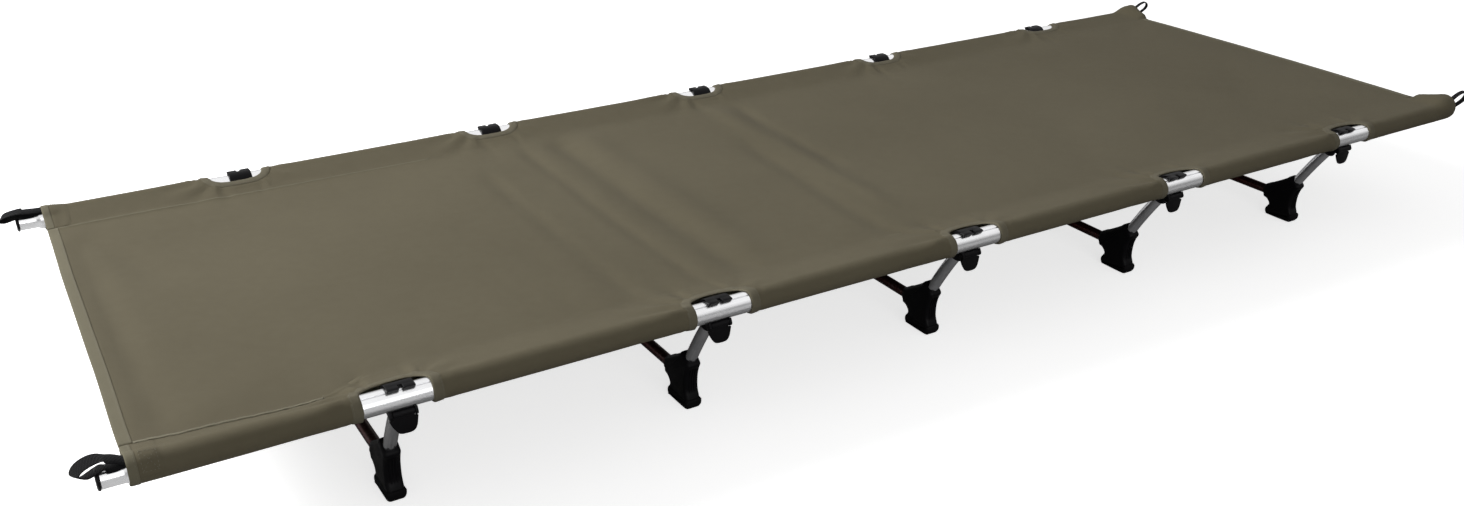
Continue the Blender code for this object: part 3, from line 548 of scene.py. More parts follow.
folds = [  # x0, y0, x1, y1, half width, height: creases left by folding the cover
    (-0.423, 0.19, -0.42, -0.268, 0.011, -0.0024),
    (-0.34, 0.262, -0.338, -0.27, 0.011, -0.0021),
    (-0.283, 0.265, -0.28, -0.27, 0.018, -0.0042),
    (-0.238, 0.265, -0.236, -0.23, 0.02, 0.0022),
    (-0.047, 0.12, -0.068, -0.272, 0.014, -0.0033),
    (-0.012, 0.262, -0.01, -0.2, 0.017, 0.003),
    (0.024, 0.27, 0.02, -0.04, 0.013, -0.0026),
    (-0.523, -0.17, -0.528, -0.272, 0.007, -0.001),
    (-0.494, -0.185, -0.492, -0.272, 0.008, -0.001),
    (-0.462, -0.18, -0.458, -0.27, 0.008, 0.0009),
    (-0.936, 0.225, -0.924, -0.262, 0.015, -0.0036),
    (-0.925, 0.255, -0.86, 0.06, 0.022, -0.0026),
    (-0.905, -0.268, -0.8, -0.18, 0.026, 0.0012),
    (0.27, 0.25, 0.262, -0.06, 0.02, -0.0008),
    (0.505, -0.24, 0.64, -0.02, 0.022, 0.0011),
    (0.3, -0.25, 0.42, -0.06, 0.024, -0.001),
    (0.7, -0.2, 0.86, 0.02, 0.026, -0.0011),
    (0.905, 0.258, 0.82, 0.19, 0.02, -0.0016),
    (0.93, -0.15, 0.935, 0.19, 0.012, -0.0007),
]


def sleeveTangents(radius, y, z):
    dy, dz = y - railY, z - railZ
    towards = atan2(dz, dy) % turn
    spreadAngle = acos(radius / hypot(dy, dz))
    return towards - spreadAngle, towards + spreadAngle - turn


def patternLengths():
    radius, y, z = cover["sleeveRadius"], cover["seamY"], cover["seamZ"]
    start, end = sleeveTangents(radius, y, z)
    climb = sqrt((y - railY) ** 2 + (z - railZ) ** 2 - radius ** 2)
    return y, climb, radius * (start - end), climb


sheetHalf, climbLength, wrapLength, returnLength = patternLengths()
sleeveEnd = sheetHalf + climbLength + wrapLength + returnLength
patternHalf = sleeveEnd + cover["allowance"]


def sectionPoint(across, x, side):  # cloth's middle, across the bed, on one side of it
    radius, centre = cover["sleeveRadius"], (railY, railZ)
    seamY = blendPath(seamPaths[side], x)
    seamZ = cover["seamZ"] + cover["rightRise"] * smooth((x - 0.35) / 0.6)
    if across <= sheetHalf:
        share = across / sheetHalf
        sag = cover["sag"] * (1 - cover["rightCrown"] * smooth((x - 0.45) / 0.5))
        return Vector((share * seamY, seamZ - sag * (1 - share * share)))
    start, end = sleeveTangents(radius, seamY, seamZ)
    across -= sheetHalf
    if across <= climbLength:
        return Vector((seamY, seamZ)).lerp(Vector(polar(radius, start, centre)), across / climbLength)
    across -= climbLength
    if across <= wrapLength:
        return Vector(polar(radius, start + (end - start) * across / wrapLength, centre))
    across -= wrapLength
    under = Vector((seamY, seamZ - cover["cloth"] * 1.15))
    if across <= returnLength:
        return Vector(polar(radius, end, centre)).lerp(under, across / returnLength)
    return Vector((under.x - (across - returnLength), under.y))


def pocketPoint(spot, across, share):  # the sleeve's closed end draws in to a rounded tip
    start, end = sleeveTangents(cover["sleeveRadius"], cover["seamY"], cover["seamZ"])
    climbed = sheetHalf + climbLength
    wrapped = climbed + wrapLength
    angle = blendPath([(sheetHalf, pi), (climbed, start), (wrapped, end), (sleeveEnd, -pi)],
                      across, straight)
    centre = Vector((railY, railZ)) + Vector(cover["tipShift"])
    rounded = Vector(polar(cover["tipRadius"], angle, centre))
    spot = spot.lerp(rounded, smooth((share - 0.2) / 0.6))
    size = sqrt(max(0.0, 1 - max(0.0, (share - 0.5) / 0.5) ** 2.4))
    return centre + (spot - centre) * size


def clothSection(x, reach, side):  # the kink at the seam is tight on the left and soft elsewhere
    tight, loose = cover["seamSoft"]
    share = smooth((x + 0.8) / 0.12) if side == "near" else smooth((x + 0.97) / 0.1)
    soft = tight + (loose - tight) * share
    if abs(reach - sheetHalf) > soft * 1.5:
        return sectionPoint(reach, x, side)
    weights = ((-1.0, 1), (-0.5, 2), (0.0, 3), (0.5, 2), (1.0, 1))
    return sum((sectionPoint(reach + d * soft, x, side) * w for d, w in weights), Vector((0, 0))) / 9


def clothPoint(x, across):
    side, sign, reach = "near" if across < 0 else "far", -1 if across < 0 else 1, abs(across)
    spot = clothSection(x, reach, side)
    if reach > sheetHalf:
        offset = spot - Vector((railY, railZ))
        angle = degrees(atan2(offset.y, offset.x))
        outward = offset.normalized()
        lift = cover["mouthLift"] * (1 - smooth((x - coverLeft - 0.012) / 0.024)) \
            * (1 - smooth((abs(angle - 90 + cover["strapTilt"][side]) - 36) / 34))
        swell = cover["pocketSwell"] * smooth((x - 0.925) / 0.032) \
            * smooth((outward.y + 0.3) / 0.9) * smooth((reach - sheetHalf) / 0.02)
        spot += outward * (lift + swell)
        spot.y += cover["pocketPuff"] * smooth((x - 0.935) / 0.025) \
            * smooth((reach - sheetHalf) / 0.01) * (1 - smooth((reach - 0.318) / 0.03))
    else:
        spot.y -= cover["hemRoll"] * (1 - smooth((x - coverLeft + 0.002) / 0.022)) \
            * smooth((sheetHalf - reach) / 0.03)
    if x > hemRight and reach >= sheetHalf:
        share = (x - hemRight) / (cover["pocketTip"] - hemRight)
        spot = pocketPoint(spot, min(reach, sleeveEnd), min(1.0, share))
    return Vector((x, sign * spot.x, spot.y))


def foldHeight(x, y):
    total = 0.0
    for x0, y0, x1, y1, half, height in folds:
        length = hypot(x1 - x0, y1 - y0)
        ux, uy = (x1 - x0) / length, (y1 - y0) / length
        along = (x - x0) * ux + (y - y0) * uy
        off = (x - x0) * uy - (y - y0) * ux
        if abs(off) > 3.5 * half or not -0.02 < along < length + 0.02:
            continue
        off += 0.004 * noise.noise(Vector((along * 14, x0 * 50, 0)))
        ends = smooth((along + 0.02) / 0.06) * smooth((length + 0.02 - along) / 0.06)
        depth = height * (0.75 + 0.5 * noise.noise(Vector((along * 9, y0 * 40, 3))))
        total += cover["foldStrength"] * depth * ends * exp(-(off / half) ** 2)
    return total


def bell(distance, width):
    return exp(-(distance / width) ** 2)


def puckerHeight(x, across):  # gathers round the notches and along the seams
    side, reach = "near" if across < 0 else "far", abs(across)
    leftPart = 1 - smooth((x + 0.8) / 0.1) if side == "near" else 0.5 * (1 - smooth((x + 0.85) / 0.4))
    total = cover["seamWelt"] * leftPart * bell(reach - sheetHalf + 0.001, 0.0023)
    total += cover["seamGather"] * bell(reach - sheetHalf - 0.004, 0.013) \
        * sin(turn * x / 0.0165 + 4 * noise.noise(Vector((x * 20, 0, reach))))
    if x > 0.9:  # the pocket is sewn into the hem's corner
        total += 0.0006 * sin(reach * turn / 0.011) * bell(x - 0.958, 0.011) \
            * smooth((reach - sheetHalf + 0.03) / 0.03) * (1 - smooth((reach - 0.335) / 0.03))
    for place, shift in zip(legPlaces, notchShifts[side]):
        dx = x - place - shift
        if abs(dx) > 0.19 or reach < 0.17:
            continue
        for end, weight, reachOut in ((-1, 1.0, 0.05), (1, 0.55, 0.03)):
            ax, ay = dx - end * 0.022, reach - 0.33
            far, angle = hypot(ax, ay), atan2(ay, ax * end)
            if angle > 0.6:
                continue
            ripple = sin(angle * 9 + 1.5 * noise.noise(Vector((x * 18, across * 18, place * 7))))
            fan = smooth((0.6 - angle) / 0.3) * smooth((angle + 1.9) / 0.3) * smooth((far - 0.012) / 0.018)
            fan *= bell(max(0.0, far - 0.03), reachOut)
            total += cover["notchFan"][side] * weight * ripple * fan
        ring = hypot(dx / 1.5, reach - 0.335)
        total += cover["notchRing"] * sin(turn * ring / 0.009) * bell(ring - 0.038, 0.012)
    return total


def clothHeight(x, across):  # all that stands off the smooth form, along its normal
    past = abs(across) - sheetHalf
    quiet = smooth((x - coverLeft) / 0.03) * smooth((hemRight - x) / 0.03)
    soft = 0.00075 * noise.noise(Vector((x * 5.0, across * 6.5, 1.0)))
    soft += 0.0003 * noise.noise(Vector((x * 17.0, across * 15.0, 5.0)))
    slant = x * 0.8 + across * 0.6
    soft += 0.00016 * smooth((x - 0.1) / 0.4) \
        * sin(turn * slant / 0.052 + 4 * noise.noise(Vector((x * 3, across * 3, 9))))
    soft *= 1 - 0.6 * smooth(past / 0.03)
    inner = foldHeight(x, across) * (1 - smooth((past + 0.004) / 0.012))
    return (soft + inner + puckerHeight(x, across)) * (0.25 + 0.75 * quiet)


def coverPoint(x, across, lift=0.0):  # a spot of the flat pattern, laid over the rails with its creases
    step = 0.0008
    along = clothPoint(x + step, across) - clothPoint(x - step, across)
    over = clothPoint(x, across + step) - clothPoint(x, across - step)
    normal = along.cross(over)
    if normal.length < 1e-12:
        return clothPoint(x, across)
    height = clothHeight(x, across)
    if x > hemRight and abs(across) > sheetHalf:
        height *= 0.5
    return clothPoint(x, across) + normal.normalized() * (lift + height)


def notchEdge(offset, upper=True):  # the notch's inner or outer edge at an offset from its middle
    share = min(1.0, abs(offset) / notch["halfWidth"])
    power = notch["power"]
    bow = (1 - share ** power) ** (1 / power)
    if upper:
        return notch["shoulder"] - (notch["shoulder"] - notch["top"]) * bow
    return notch["heel"] + (notch["bottom"] - notch["heel"]) * bow


def coverColumns():
    half = notch["halfWidth"]
    inner = [0.0, 0.13, 0.26, 0.39, 0.51, 0.62, 0.72, 0.8, 0.87, 0.925, 0.965, 0.99, 1.0]
    steps = {round(sign * share * half, 6) for share in inner for sign in (-1, 1)}
    steps |= {sign * (half + d) for d in (0.003, 0.0065, 0.011, 0.017, 0.024) for sign in (-1, 1)}
    stops = [coverLeft] + [place + d for place in legPlaces for d in sorted(steps)] + [hemRight]
    result = []
    for low, high in zip(stops, stops[1:]):
        pitch = 0.0074 if -0.5 < low < 0.1 else 0.0088
        count = max(1, round((high - low) / pitch)) if high - low > 0.012 else 1
        result += evenSteps(low, high, count)[:-1]
    tip = cover["pocketTip"] - hemRight
    return result + [hemRight + tip * s for s in (0, .14, .28, .42, .55, .66, .76, .84, .9, .95, .985, 1)]


def coverRows():
    top, bottom = notch["top"], notch["bottom"]
    half = [0.2735, 0.276, 0.2778, 0.2802, 0.2825, 0.286]       # close together at the seam
    for low, high, count in ((0.262, 0.2735, 3), (0.0, 0.262, 27)):
        half = evenSteps(low, high, count)[:-1] + half
    for low, high, count in ((0.29, top, 7), (top, bottom, 28), (bottom, 0.418, 4)):
        half += evenSteps(low, high, count)[:-1]
    half += [0.418, sleeveEnd, patternHalf]
    return [-s for s in reversed(half[1:])] + half


def makeCover():
    columns, rows = coverColumns(), coverRows()
    half, top, bottom = notch["halfWidth"], notch["top"], notch["bottom"]
    flatShift = {side: [(coverLeft, 0.0)] + [
        point for place, shift in zip(legPlaces, shifts)
        for point in ((place - 0.055, shift), (place + 0.055, shift))
    ] + [(hemRight - 0.02, 0.0)] for side, shifts in notchShifts.items()}

    def fromLeg(x):
        return min(abs(place - x) for place in legPlaces)

    def flatPlace(i, j):
        x, across = columns[i], rows[j]
        reach, offset = abs(across), fromLeg(x)
        shift = blendPath(flatShift["near" if across < 0 else "far"], x) * smooth((reach - 0.12) / 0.14)
        shift += blendPath(leftEdge, across) * (1 - smooth((x - coverLeft) / 0.12))
        if 0.29 < reach < 0.418:
            fade = (1 - smooth((offset - half) / 0.028)) if offset > half else 1.0
            stops = [(0.29, 0.29), (top, top + (notchEdge(offset) - top) * fade),
                     (bottom, bottom + (notchEdge(offset, False) - bottom) * fade), (0.418, 0.418)]
            reach = blendPath(stops, reach, straight)
        return x + shift, copysign(reach, across)

    def inNotch(i, j):
        return fromLeg(columns[i]) < half + 1e-6 and top - 1e-6 < abs(rows[j]) < bottom + 1e-6

    def pastHem(i, j):
        return columns[i] > hemRight - 1e-6

    places = {(i, j): flatPlace(i, j) for i in range(len(columns)) for j in range(len(rows))}
    bm, spots = gridSurface(len(columns), len(rows), lambda i, j: coverPoint(*places[i, j]),
                            lambda i, j: places[i, j])
    gone = []
    for face in bm.faces:
        corners = [spots[vert] for vert in face.verts]
        reach = sum(abs(rows[j]) for i, j in corners) / 4
        if all(inNotch(*corner) for corner in corners):
            gone.append(face)
        elif all(pastHem(*corner) for corner in corners) and not sheetHalf < reach < sleeveEnd:
            gone.append(face)
    bmesh.ops.delete(bm, geom=gone, context="FACES")
    tips = [vert for vert in bm.verts if vert.co.x > cover["pocketTip"] - 1e-5]
    bmesh.ops.remove_doubles(bm, verts=tips, dist=0.002)
    return solidify(addPiece("bed_cover_sewn", bm, "coverFabric", "bed_cover", sharp=60), cover["cloth"])


def tapeSurface(path, profile, closed=False):  # a folded tape along a path on the flat pattern
    count = len(path)
    path = [Vector(point) for point in path]
    inwards = []
    for k in range(count):
        before, after = (k - 1) % count, (k + 1) % count
        if not closed:
            before, after = max(k - 1, 0), min(k + 1, count - 1)
        along = (path[after] - path[before]).normalized()
        inwards.append(Vector((along.y, -along.x)))
    run = [0.0]
    for here, after in zip(path, path[1:] + path[:1]):
        run.append(run[-1] + (after - here).length)

    def place(i, j):
        inset, lift = profile[j]
        flat = path[i % count] + inwards[i % count] * inset
        ripple = 0.00012 * sin(run[i % count] * turn / 0.0105) * min(1.0, abs(lift) / 0.0006)
        return coverPoint(flat.x, flat.y, lift + copysign(ripple, lift))

    bm, _ = gridSurface(count + 1 if closed else count, len(profile), place,
                        lambda i, j: (run[i], copysign(profile[j][0], profile[j][1])))
    if closed:
        bmesh.ops.remove_doubles(bm, verts=bm.verts, dist=1e-6)
    return bm


def foldedProfile(width, lift=0.00082, edge=0.62):  # edge is how far the tape's inner edge stands up
    upper = [(0.0002, lift * 0.85), (0.0016, lift), (width * 0.55, lift),
             (width * 0.86, lift * (1 + edge) / 2), (width - 0.0002, lift * edge), (width, lift * edge)]
    return [(inset, -rise) for inset, rise in reversed(upper)] + [(-0.0005, 0.0)] + upper


def notchPath(side, number):  # closed path round one notch, on the flat pattern
    half, power, steps = notch["halfWidth"], notch["power"], 15
    centre = legPlaces[number] + notchShifts[side][number]
    points = []
    heel, shoulder = notch["heel"], notch["shoulder"]
    for quarter in range(4):
        low, high = (heel, notch["bottom"]) if quarter < 2 else (shoulder, notch["top"])
        for k in range(steps):
            angle = (quarter + k / steps) * pi / 2
            c, s = cos(angle), sin(angle)
            x = half * copysign(abs(c) ** (2 / power), c)
            points.append((centre + x, low + (high - low) * abs(s) ** (2 / power)))
        if quarter == 1:
            points += [(centre - half, a) for a in evenSteps(heel, shoulder, 6)[1:-1]]
        if quarter == 3:
            points += [(centre + half, a) for a in evenSteps(shoulder, heel, 6)[:-1]]
    points = [p for k, p in enumerate(points) if (Vector(p) - Vector(points[k - 1])).length > 0.0002]
    return points if side == "far" else [(x, -across) for x, across in reversed(points)]


def resample(path, pitch, closed=False):
    points = [Vector(p) for p in path] + ([Vector(path[0])] if closed else [])
    result, left = [], pitch / 2
    for a, b in zip(points, points[1:]):
        length = (b - a).length
        while left <= length and length > 0:
            result.append((a.lerp(b, left / length), (b - a).normalized()))
            left += pitch
        left -= length
    return result


stitch = {"pitch": 0.0034, "length": 0.0012, "width": 0.00026, "height": 0.00022}


def addStitches(bm, path, inset, lift, closed=False):
    for spot, along in resample(path, stitch["pitch"], closed):
        inward = Vector((along.y, -along.x))
        flat = spot + inward * inset
        steps = (Vector((0.0, 0.0)), along * 0.001, inward * 0.001)
        here, ahead, aside = (coverPoint(*(flat + step), lift) for step in steps)
        tangent = (ahead - here).normalized()
        normal = (aside - here).cross(tangent).normalized()
        axes = zip((tangent, normal.cross(tangent), normal), ("length", "width", "height"))
        matrix = Matrix([axis * stitch[size] for axis, size in axes]).transposed().to_4x4()
        matrix.translation = here
        bmesh.ops.create_icosphere(bm, subdivisions=1, radius=1.0, matrix=matrix)


trim = {
    "bindingWidth": 0.0102,
    "hemWidth": 0.0115,
    "sleeveHem": 0.008,
    "rightHemWidth": 0.0095,
    "hemLift": 0.00066,
    "sleeveLift": 0.0006,
    "hemThickness": 0.0004,
    "hemEdge": 0.97,
    "patchLength": 0.02,
    "patchLift": (0.00066, 0.0004),     # in the middle and at the edge
    "bindingThread": 0.00118,   # how high each kind of stitch stands over the cloth's middle
    "seamThread": 0.00042,
    "boxThread": 0.00125,
    "wall": 0.0005,             # thickness of tapes and patches
    "bindingWall": 0.0006,
    # where each seam's first rows of stitches end; then finish, end, width and lift of the pale strip along
    # it, a painted highlight where the raised seam catches the light
    "seamEnd": {"near": -0.78, "far": 0.93},
    "seamHighlight": {"near": ("seamHighlightTape", -0.782, 0.0026, 0.0011), "far": ("hemFabricPaintedLight", -0.47, 0.0012, 0.0006)},
}


def edgedSteps(count):  # even shares from 0 to 1, with one more close to each end for a crisp edge
    return [0.0, 0.008] + evenSteps(0.0, 1.0, count)[1:-1] + [0.992, 1.0]


def addTrim(name, bm, finish, thickness):
    solidify(addPiece(name, bm, finish, sharp=60), thickness)


def addThread(name, bm):
    bmesh.ops.recalc_face_normals(bm, faces=bm.faces)
    addPiece(name, bm, "sewingThread")


def makeBinding(side, number):
    width = trim["bindingWidth"]
    path = notchPath(side, number)
    addTrim(f"notch_binding_{side}_{number + 1}", tapeSurface(path, foldedProfile(width), closed=True),
            "bindingTape", trim["bindingWall"])
    bm = bmesh.new()
    for face in (1, -1):
        addStitches(bm, path, width - 0.0016, face * trim["bindingThread"], closed=True)
    addThread(f"binding_stitches_{side}_{number + 1}", bm)


def makeHems():
    threads = bmesh.new()
    thickness, edge = trim["hemThickness"], trim["hemEdge"]
    wide = (trim["hemWidth"], trim["hemLift"])
    narrow = (trim["sleeveHem"], trim["sleeveLift"])
    for name, low, high, steps, (width, lift) in (
        ("left_hem", -sheetHalf, sheetHalf, 120, wide),
        ("sleeve_hem_near", -sleeveEnd + 0.002, -sheetHalf - 0.001, 44, narrow),
        ("sleeve_hem_far", sheetHalf + 0.001, sleeveEnd - 0.002, 44, narrow),
    ):
        path = [(coverLeft + blendPath(leftEdge, a), a) for a in evenSteps(low, high, steps)]
        # the hem tapes take the lighter cloth, a painted highlight
        addTrim(name, tapeSurface(path, foldedProfile(width, lift, edge)), "hemFabricPaintedLight", thickness)
        addStitches(threads, path, width - 0.0018, lift + 0.00026)
    path = [(hemRight, a) for a in evenSteps(sheetHalf, -sheetHalf, 110)]
    width, lift = trim["rightHemWidth"], trim["hemLift"]
    addTrim("right_hem", tapeSurface(path, foldedProfile(width, lift, edge)), "hemFabricPaintedLight", trim["wall"])
    for inset in (0.0016, width - 0.0018):
        addStitches(threads, path, inset, lift + 0.00026)
    addThread("hem_stitches", threads)


def makeSeam(side, sign):
    end, lift = trim["seamEnd"][side], trim["seamThread"]
    path = [(x, sign * sheetHalf) for x in evenSteps(coverLeft + 0.014, end, 200)]
    bm = bmesh.new()
    addStitches(bm, path, 0.0, lift)
    if side == "near":  # a second row along the strip, and one row past its end
        addStitches(bm, path, -0.0055, lift)
        past = evenSteps(end + 0.004, trim["seamEnd"]["far"] + 0.004, 200)
        addStitches(bm, [(x, sign * (sheetHalf - 0.004)) for x in past], 0.0, lift - 0.00004)
    addThread(f"seam_stitches_{side}", bm)
    # a pale strip along the seam's fold is a painted highlight, standing in for the light on the raised seam
    look, tapeEnd, width, lift = trim["seamHighlight"][side]
    edge = [(x, sign * (sheetHalf - 0.0012)) for x in evenSteps(coverLeft + 0.013, tapeEnd, 90)]
    addTrim(f"seam_highlight_strip_{side}", tapeSurface(edge[::-sign], foldedProfile(width, lift)), look, trim["wall"])


def makeCorner(side, sign):  # patch with a sewn box and cross, where the strap is held
    x0 = coverLeft + blendPath(leftEdge, sign * sleeveEnd) + trim["sleeveHem"] + 0.0004
    x1 = x0 + trim["patchLength"]
    a0, a1 = sheetHalf + 0.003, sheetHalf + climbLength + 0.0255
    columns, rows = edgedSteps(10), edgedSteps(26)

    def patchSpot(i, j):
        return x0 + (x1 - x0) * columns[i], sign * (a0 + (a1 - a0) * rows[j])

    def patchPlace(i, j):
        edge = min(i, len(columns) - 1 - i, j, len(rows) - 1 - j) < 2
        return coverPoint(*patchSpot(i, j), trim["patchLift"][edge])

    bm, _ = gridSurface(len(columns), len(rows), patchPlace, patchSpot)
    addTrim(f"corner_patch_{side}", bm, "coverFabric", trim["wall"])
    bm = bmesh.new()
    low, high = x0 + 0.003, x1 - 0.003
    top, front = (sign * (sheetHalf + climbLength + step) for step in (0.004, 0.0215))
    box = [(low, top), (high, top), (high, front), (low, front), (low, top), (high, front)]
    for path in (box, [(low, front), (high, top)]):
        addStitches(bm, path, 0.0, trim["boxThread"])
    addThread(f"strap_stitches_{side}", bm)


def makeCoverTrim():
    for side in sides:
        for number in range(cot["legCount"]):
            makeBinding(side, number)
    makeHems()
    for side, sign in sides.items():
        makeSeam(side, sign)
        makeCorner(side, sign)


coverPiece = makeCover()
makeCoverTrim()
print("bed cover ready")


# end straps

strap = {
    "width": 0.016,
    "rightWidth": 0.009,
    "thickness": 0.0013,
    "leftReach": 0.022,
    "leftRise": 0.0115,
    "leftDrop": 0.0055,
    "lowTwist": 20.0,           # degrees the loop's lower strand turns its edge to the front
    "tipSlant": 0.42,           # the loop's tip isn't square to the strap
    "farFlattening": 0.45,      # the far strap's loop is pressed flatter than the near one
    "rightReach": 0.028,
    "rightRise": 0.022,
    "rightRootGap": 0.011,
    "rightLift": 0.0055,        # the right loops' roots above the rails' middle
    "rightTurn": -18.0,         # degrees the right loops turn on the pocket tips
    "capThickness": 0.003,
    "capOverhang": 0.0008,
}


def leftStrapRoute(flat):
    start = coverLeft + 0.015
    cap = railLeft - gap - strap["capThickness"]
    tip = railLeft - strap["leftReach"]
    reach = strap["leftReach"] - strap["capThickness"]
    lower = railZ + railRadius + gap + strap["thickness"] / 2
    bare = lower - railRadius + cot["railEnd"]
    upper = lower + strap["thickness"] + 0.0002
    rise, drop = strap["leftRise"] * flat, strap["leftDrop"] * flat
    top = bare + max(rise, 0.003)
    return [(start, lower), (coverLeft - 0.001, lower), (coverLeft - 0.008, bare),
            (railLeft, bare), (cap - reach * 0.2, bare - drop * 0.45),
            (cap - reach * 0.65, bare - drop), (tip, bare - drop * 0.1),
            (tip + reach * 0.3, bare + rise * 0.62), (cap, top),
            (coverLeft - 0.01, upper + (top - upper) * 0.6),
            (coverLeft + 0.001, upper), (start, upper)]


def rightStrapRoute():
    root = cover["pocketTip"] - 0.004
    reach = strap["rightReach"] + 0.0015
    rise = strap["rightRise"]
    tip = root + reach
    middle = railZ + strap["rightLift"]
    top = middle + rise
    upper = middle + strap["rightRootGap"] / 2
    lower = middle - strap["rightRootGap"] / 2
    return [(root, upper), (root + reach * 0.24, upper + rise * 0.34),
            (root + reach * 0.57, top - rise * 0.1), (tip - reach * 0.12, top), (tip, top - rise * 0.32),
            (tip - reach * 0.2, top - rise * 0.68), (root + reach * 0.32, lower + rise * 0.18), (root, lower)]


def strapRing(width):
    half, thick = width / 2, strap["thickness"] / 2
    return [(half * copysign(abs(c) ** 0.55, c), thick * copysign(abs(s) ** 0.45, s))
            for c, s in circle(1.0, 28)]


def strapShell(route, sign, width, tilt, onRail, twist=0.0):
    line = curveThrough(route, 7)
    tilt = radians(tilt)
    lowest, highest = min(p.y for p in line), max(p.y for p in line)
    rings = []
    for k, point in enumerate(line):
        ahead, behind = line[min(k + 1, len(line) - 1)], line[max(k - 1, 0)]
        along = (ahead - behind).normalized()
        normal = Vector((-along.y, along.x))
        hug = smooth((point.x - railLeft + 0.002) / 0.01) if onRail else 0.0
        slope = -radians(twist) * (1 - hug) * (1 - smooth((point.y - lowest) / (highest - lowest)))
        row = []
        for across, up in strapRing(width):
            spot = point + normal * up
            height = spot.y - railZ
            bend = across / max(height, 0.006) * hug
            flat = across * (1 - hug)
            y = height * sin(bend) + flat * cos(slope)
            z = height * cos(bend) - flat * sin(slope)
            slant = strap["tipSlant"] * (flat + width / 2 * (1 - hug)) if twist else 0.0
            row.append((spot.x + slant, sign * (railY + y * cos(tilt) + z * sin(tilt)),
                        railZ + z * cos(tilt) - y * sin(tilt)))
        rings.append(row)
    return sweptShell(rings)


def capShell(sign):  # moulded cap with a rounded rim on the rail's bare end
    face = railLeft - gap
    outer = cot["railEnd"] + strap["capOverhang"]
    back = face - strap["capThickness"]
    profile = [(face + 0.01, outer - 0.0034), (face, outer - 0.0032), (face, outer - 0.0006),
               (face - 0.0005, outer), (back + 0.0012, outer), (back + 0.0003, outer - 0.0009),
               (back, outer - 0.0022), (back + 0.0004, outer * 0.4), (back + 0.0004, 0.0004)]
    return turned(profile, 40, (sign * railY, railZ))


def makeStraps():
    for side, sign in sides.items():
        flat = 1.0 if side == "near" else strap["farFlattening"]
        bm = strapShell(leftStrapRoute(flat), sign, strap["width"], cover["strapTilt"][side], True,
                        strap["lowTwist"] * flat)
        addPiece(f"left_strap_{side}", bm, "blackWebbing", f"end_strap_left_{side}")
        addPiece(f"rail_cap_{side}", capShell(sign), "blackNylon")
        root = Matrix.Translation((cover["pocketTip"] - 0.006, sign * railY, railZ))
        place = root @ Matrix.Rotation(radians(strap["rightTurn"]), 4, "Z") @ root.inverted()
        bm = strapShell(rightStrapRoute(), sign, strap["rightWidth"], 0.0, False)
        addPiece(f"right_strap_{side}", bm, "blackWebbing", f"end_strap_right_{side}", place=place)


makeStraps()
print("end straps ready")


# side rails

rail = {
    "wall": 0.002,
    "sections": 5,
    "grooveAngle": radians(62),
    "grooveWidth": 0.0016,
    "grooveDepth": 0.0015,
    "sidesRound": 60,
    "chamfer": 0.0003,
}


def railRing(sign, x, shrink, bore=False):
    half = rail["grooveWidth"] / 2 / railRadius
    shrink += (railRadius - cot["railEnd"]) * (1 - smooth((x - coverLeft + 0.003) / 0.006))
    groove = rail["grooveAngle"]
    points = arc(railRadius - shrink, groove + half, groove - half + turn, rail["sidesRound"])
    floor = railRadius - rail["grooveDepth"] - shrink
    for share in (-0.85, -0.35, 0.35, 0.85):
        drop = floor if abs(share) < 0.5 else floor + rail["grooveDepth"] * 0.35
        points.append(polar(drop, groove + half * share))
    if bore:
        radius = railRadius - rail["wall"] - shrink
        points = [polar(radius, atan2(z, y)) for y, z in points]
    return [(x, sign * (railY + y), railZ + z) for y, z in points]


def makeRails():
    sections, chamfer, neck = rail["sections"], rail["chamfer"], coverLeft - 0.003
    length = (cot["railRight"] - railLeft) / sections
    for side, sign in sides.items():
        for k in range(sections):
            low = railLeft + length * k + (gap / 2 if k else 0)
            high = railLeft + length * (k + 1) - (gap / 2 if k < sections - 1 else 0)
            stops = [(low, 0, True), (low, chamfer), (low + chamfer, 0)]
            stops += [(neck + 0.001 * t, 0) for t in range(7)] if k == 0 else []
            stops += [(low + (high - low) * t, 0) for t in (0.25, 0.5, 0.75)]
            stops += [(high - chamfer, 0), (high, chamfer), (high, 0, True)]
            stops += [(neck + 0.002 * t, 0, True) for t in (3, 2, 1, 0)] if k == 0 else []
            rings = [railRing(sign, *stop) for stop in stops + stops[:1]]
            addPiece(f"rail_tube_{side}_{k + 1}", sweptShell(rings, False), "railAluminium",
                     f"rail_{side}_{k + 1}", sharp=30)


makeRails()
print("rails ready")


# uprights and cross poles

pole = {
    "crossRadius": 0.007,
    "crossWall": 0.0012,
    "crossZ": 0.036,
    "crossReach": 0.2395,
    "uprightRadius": 0.0073,
    "uprightWall": 0.0012,
    "bow": radians(4),
    "footY": 0.265,
    "footZ": 0.0577,
    "standoff": 0.017,
    "lean": radians(54.6),
    "sidesRound": 32,
}


def uprightLine(steps, extraLow=0.0):  # middle points and radial directions along the bow
    top = Vector(polar(pole["standoff"], pole["lean"] + pi))
    foot = Vector((pole["footY"] - railY, pole["footZ"] - railZ))
    chord = top - foot
    radius = chord.length / 2 / sin(pole["bow"])
    across = Vector((chord.y, -chord.x)).normalized()
    centre = (top + foot) / 2 + across * radius * cos(pole["bow"])
    start = atan2(foot.y - centre.y, foot.x - centre.x) + extraLow / radius
    angles = evenSteps(start, start - 2 * pole["bow"] - extraLow / radius, steps)
    return [(Vector(polar(radius, angle, centre)), Vector(polar(1.0, angle))) for angle in angles]


def ringAcross(spot, radial, radius, count):
    return [(a, *(spot + radial * b)) for a, b in circle(radius, count)]


def collar(base, along, radius, stops):  # round form from (place along it, added radius) stops
    radial = Vector((-along.y, along.x))
    return sweptShell([ringAcross(base + along * far, radial, radius + more, 36) for far, more in stops])


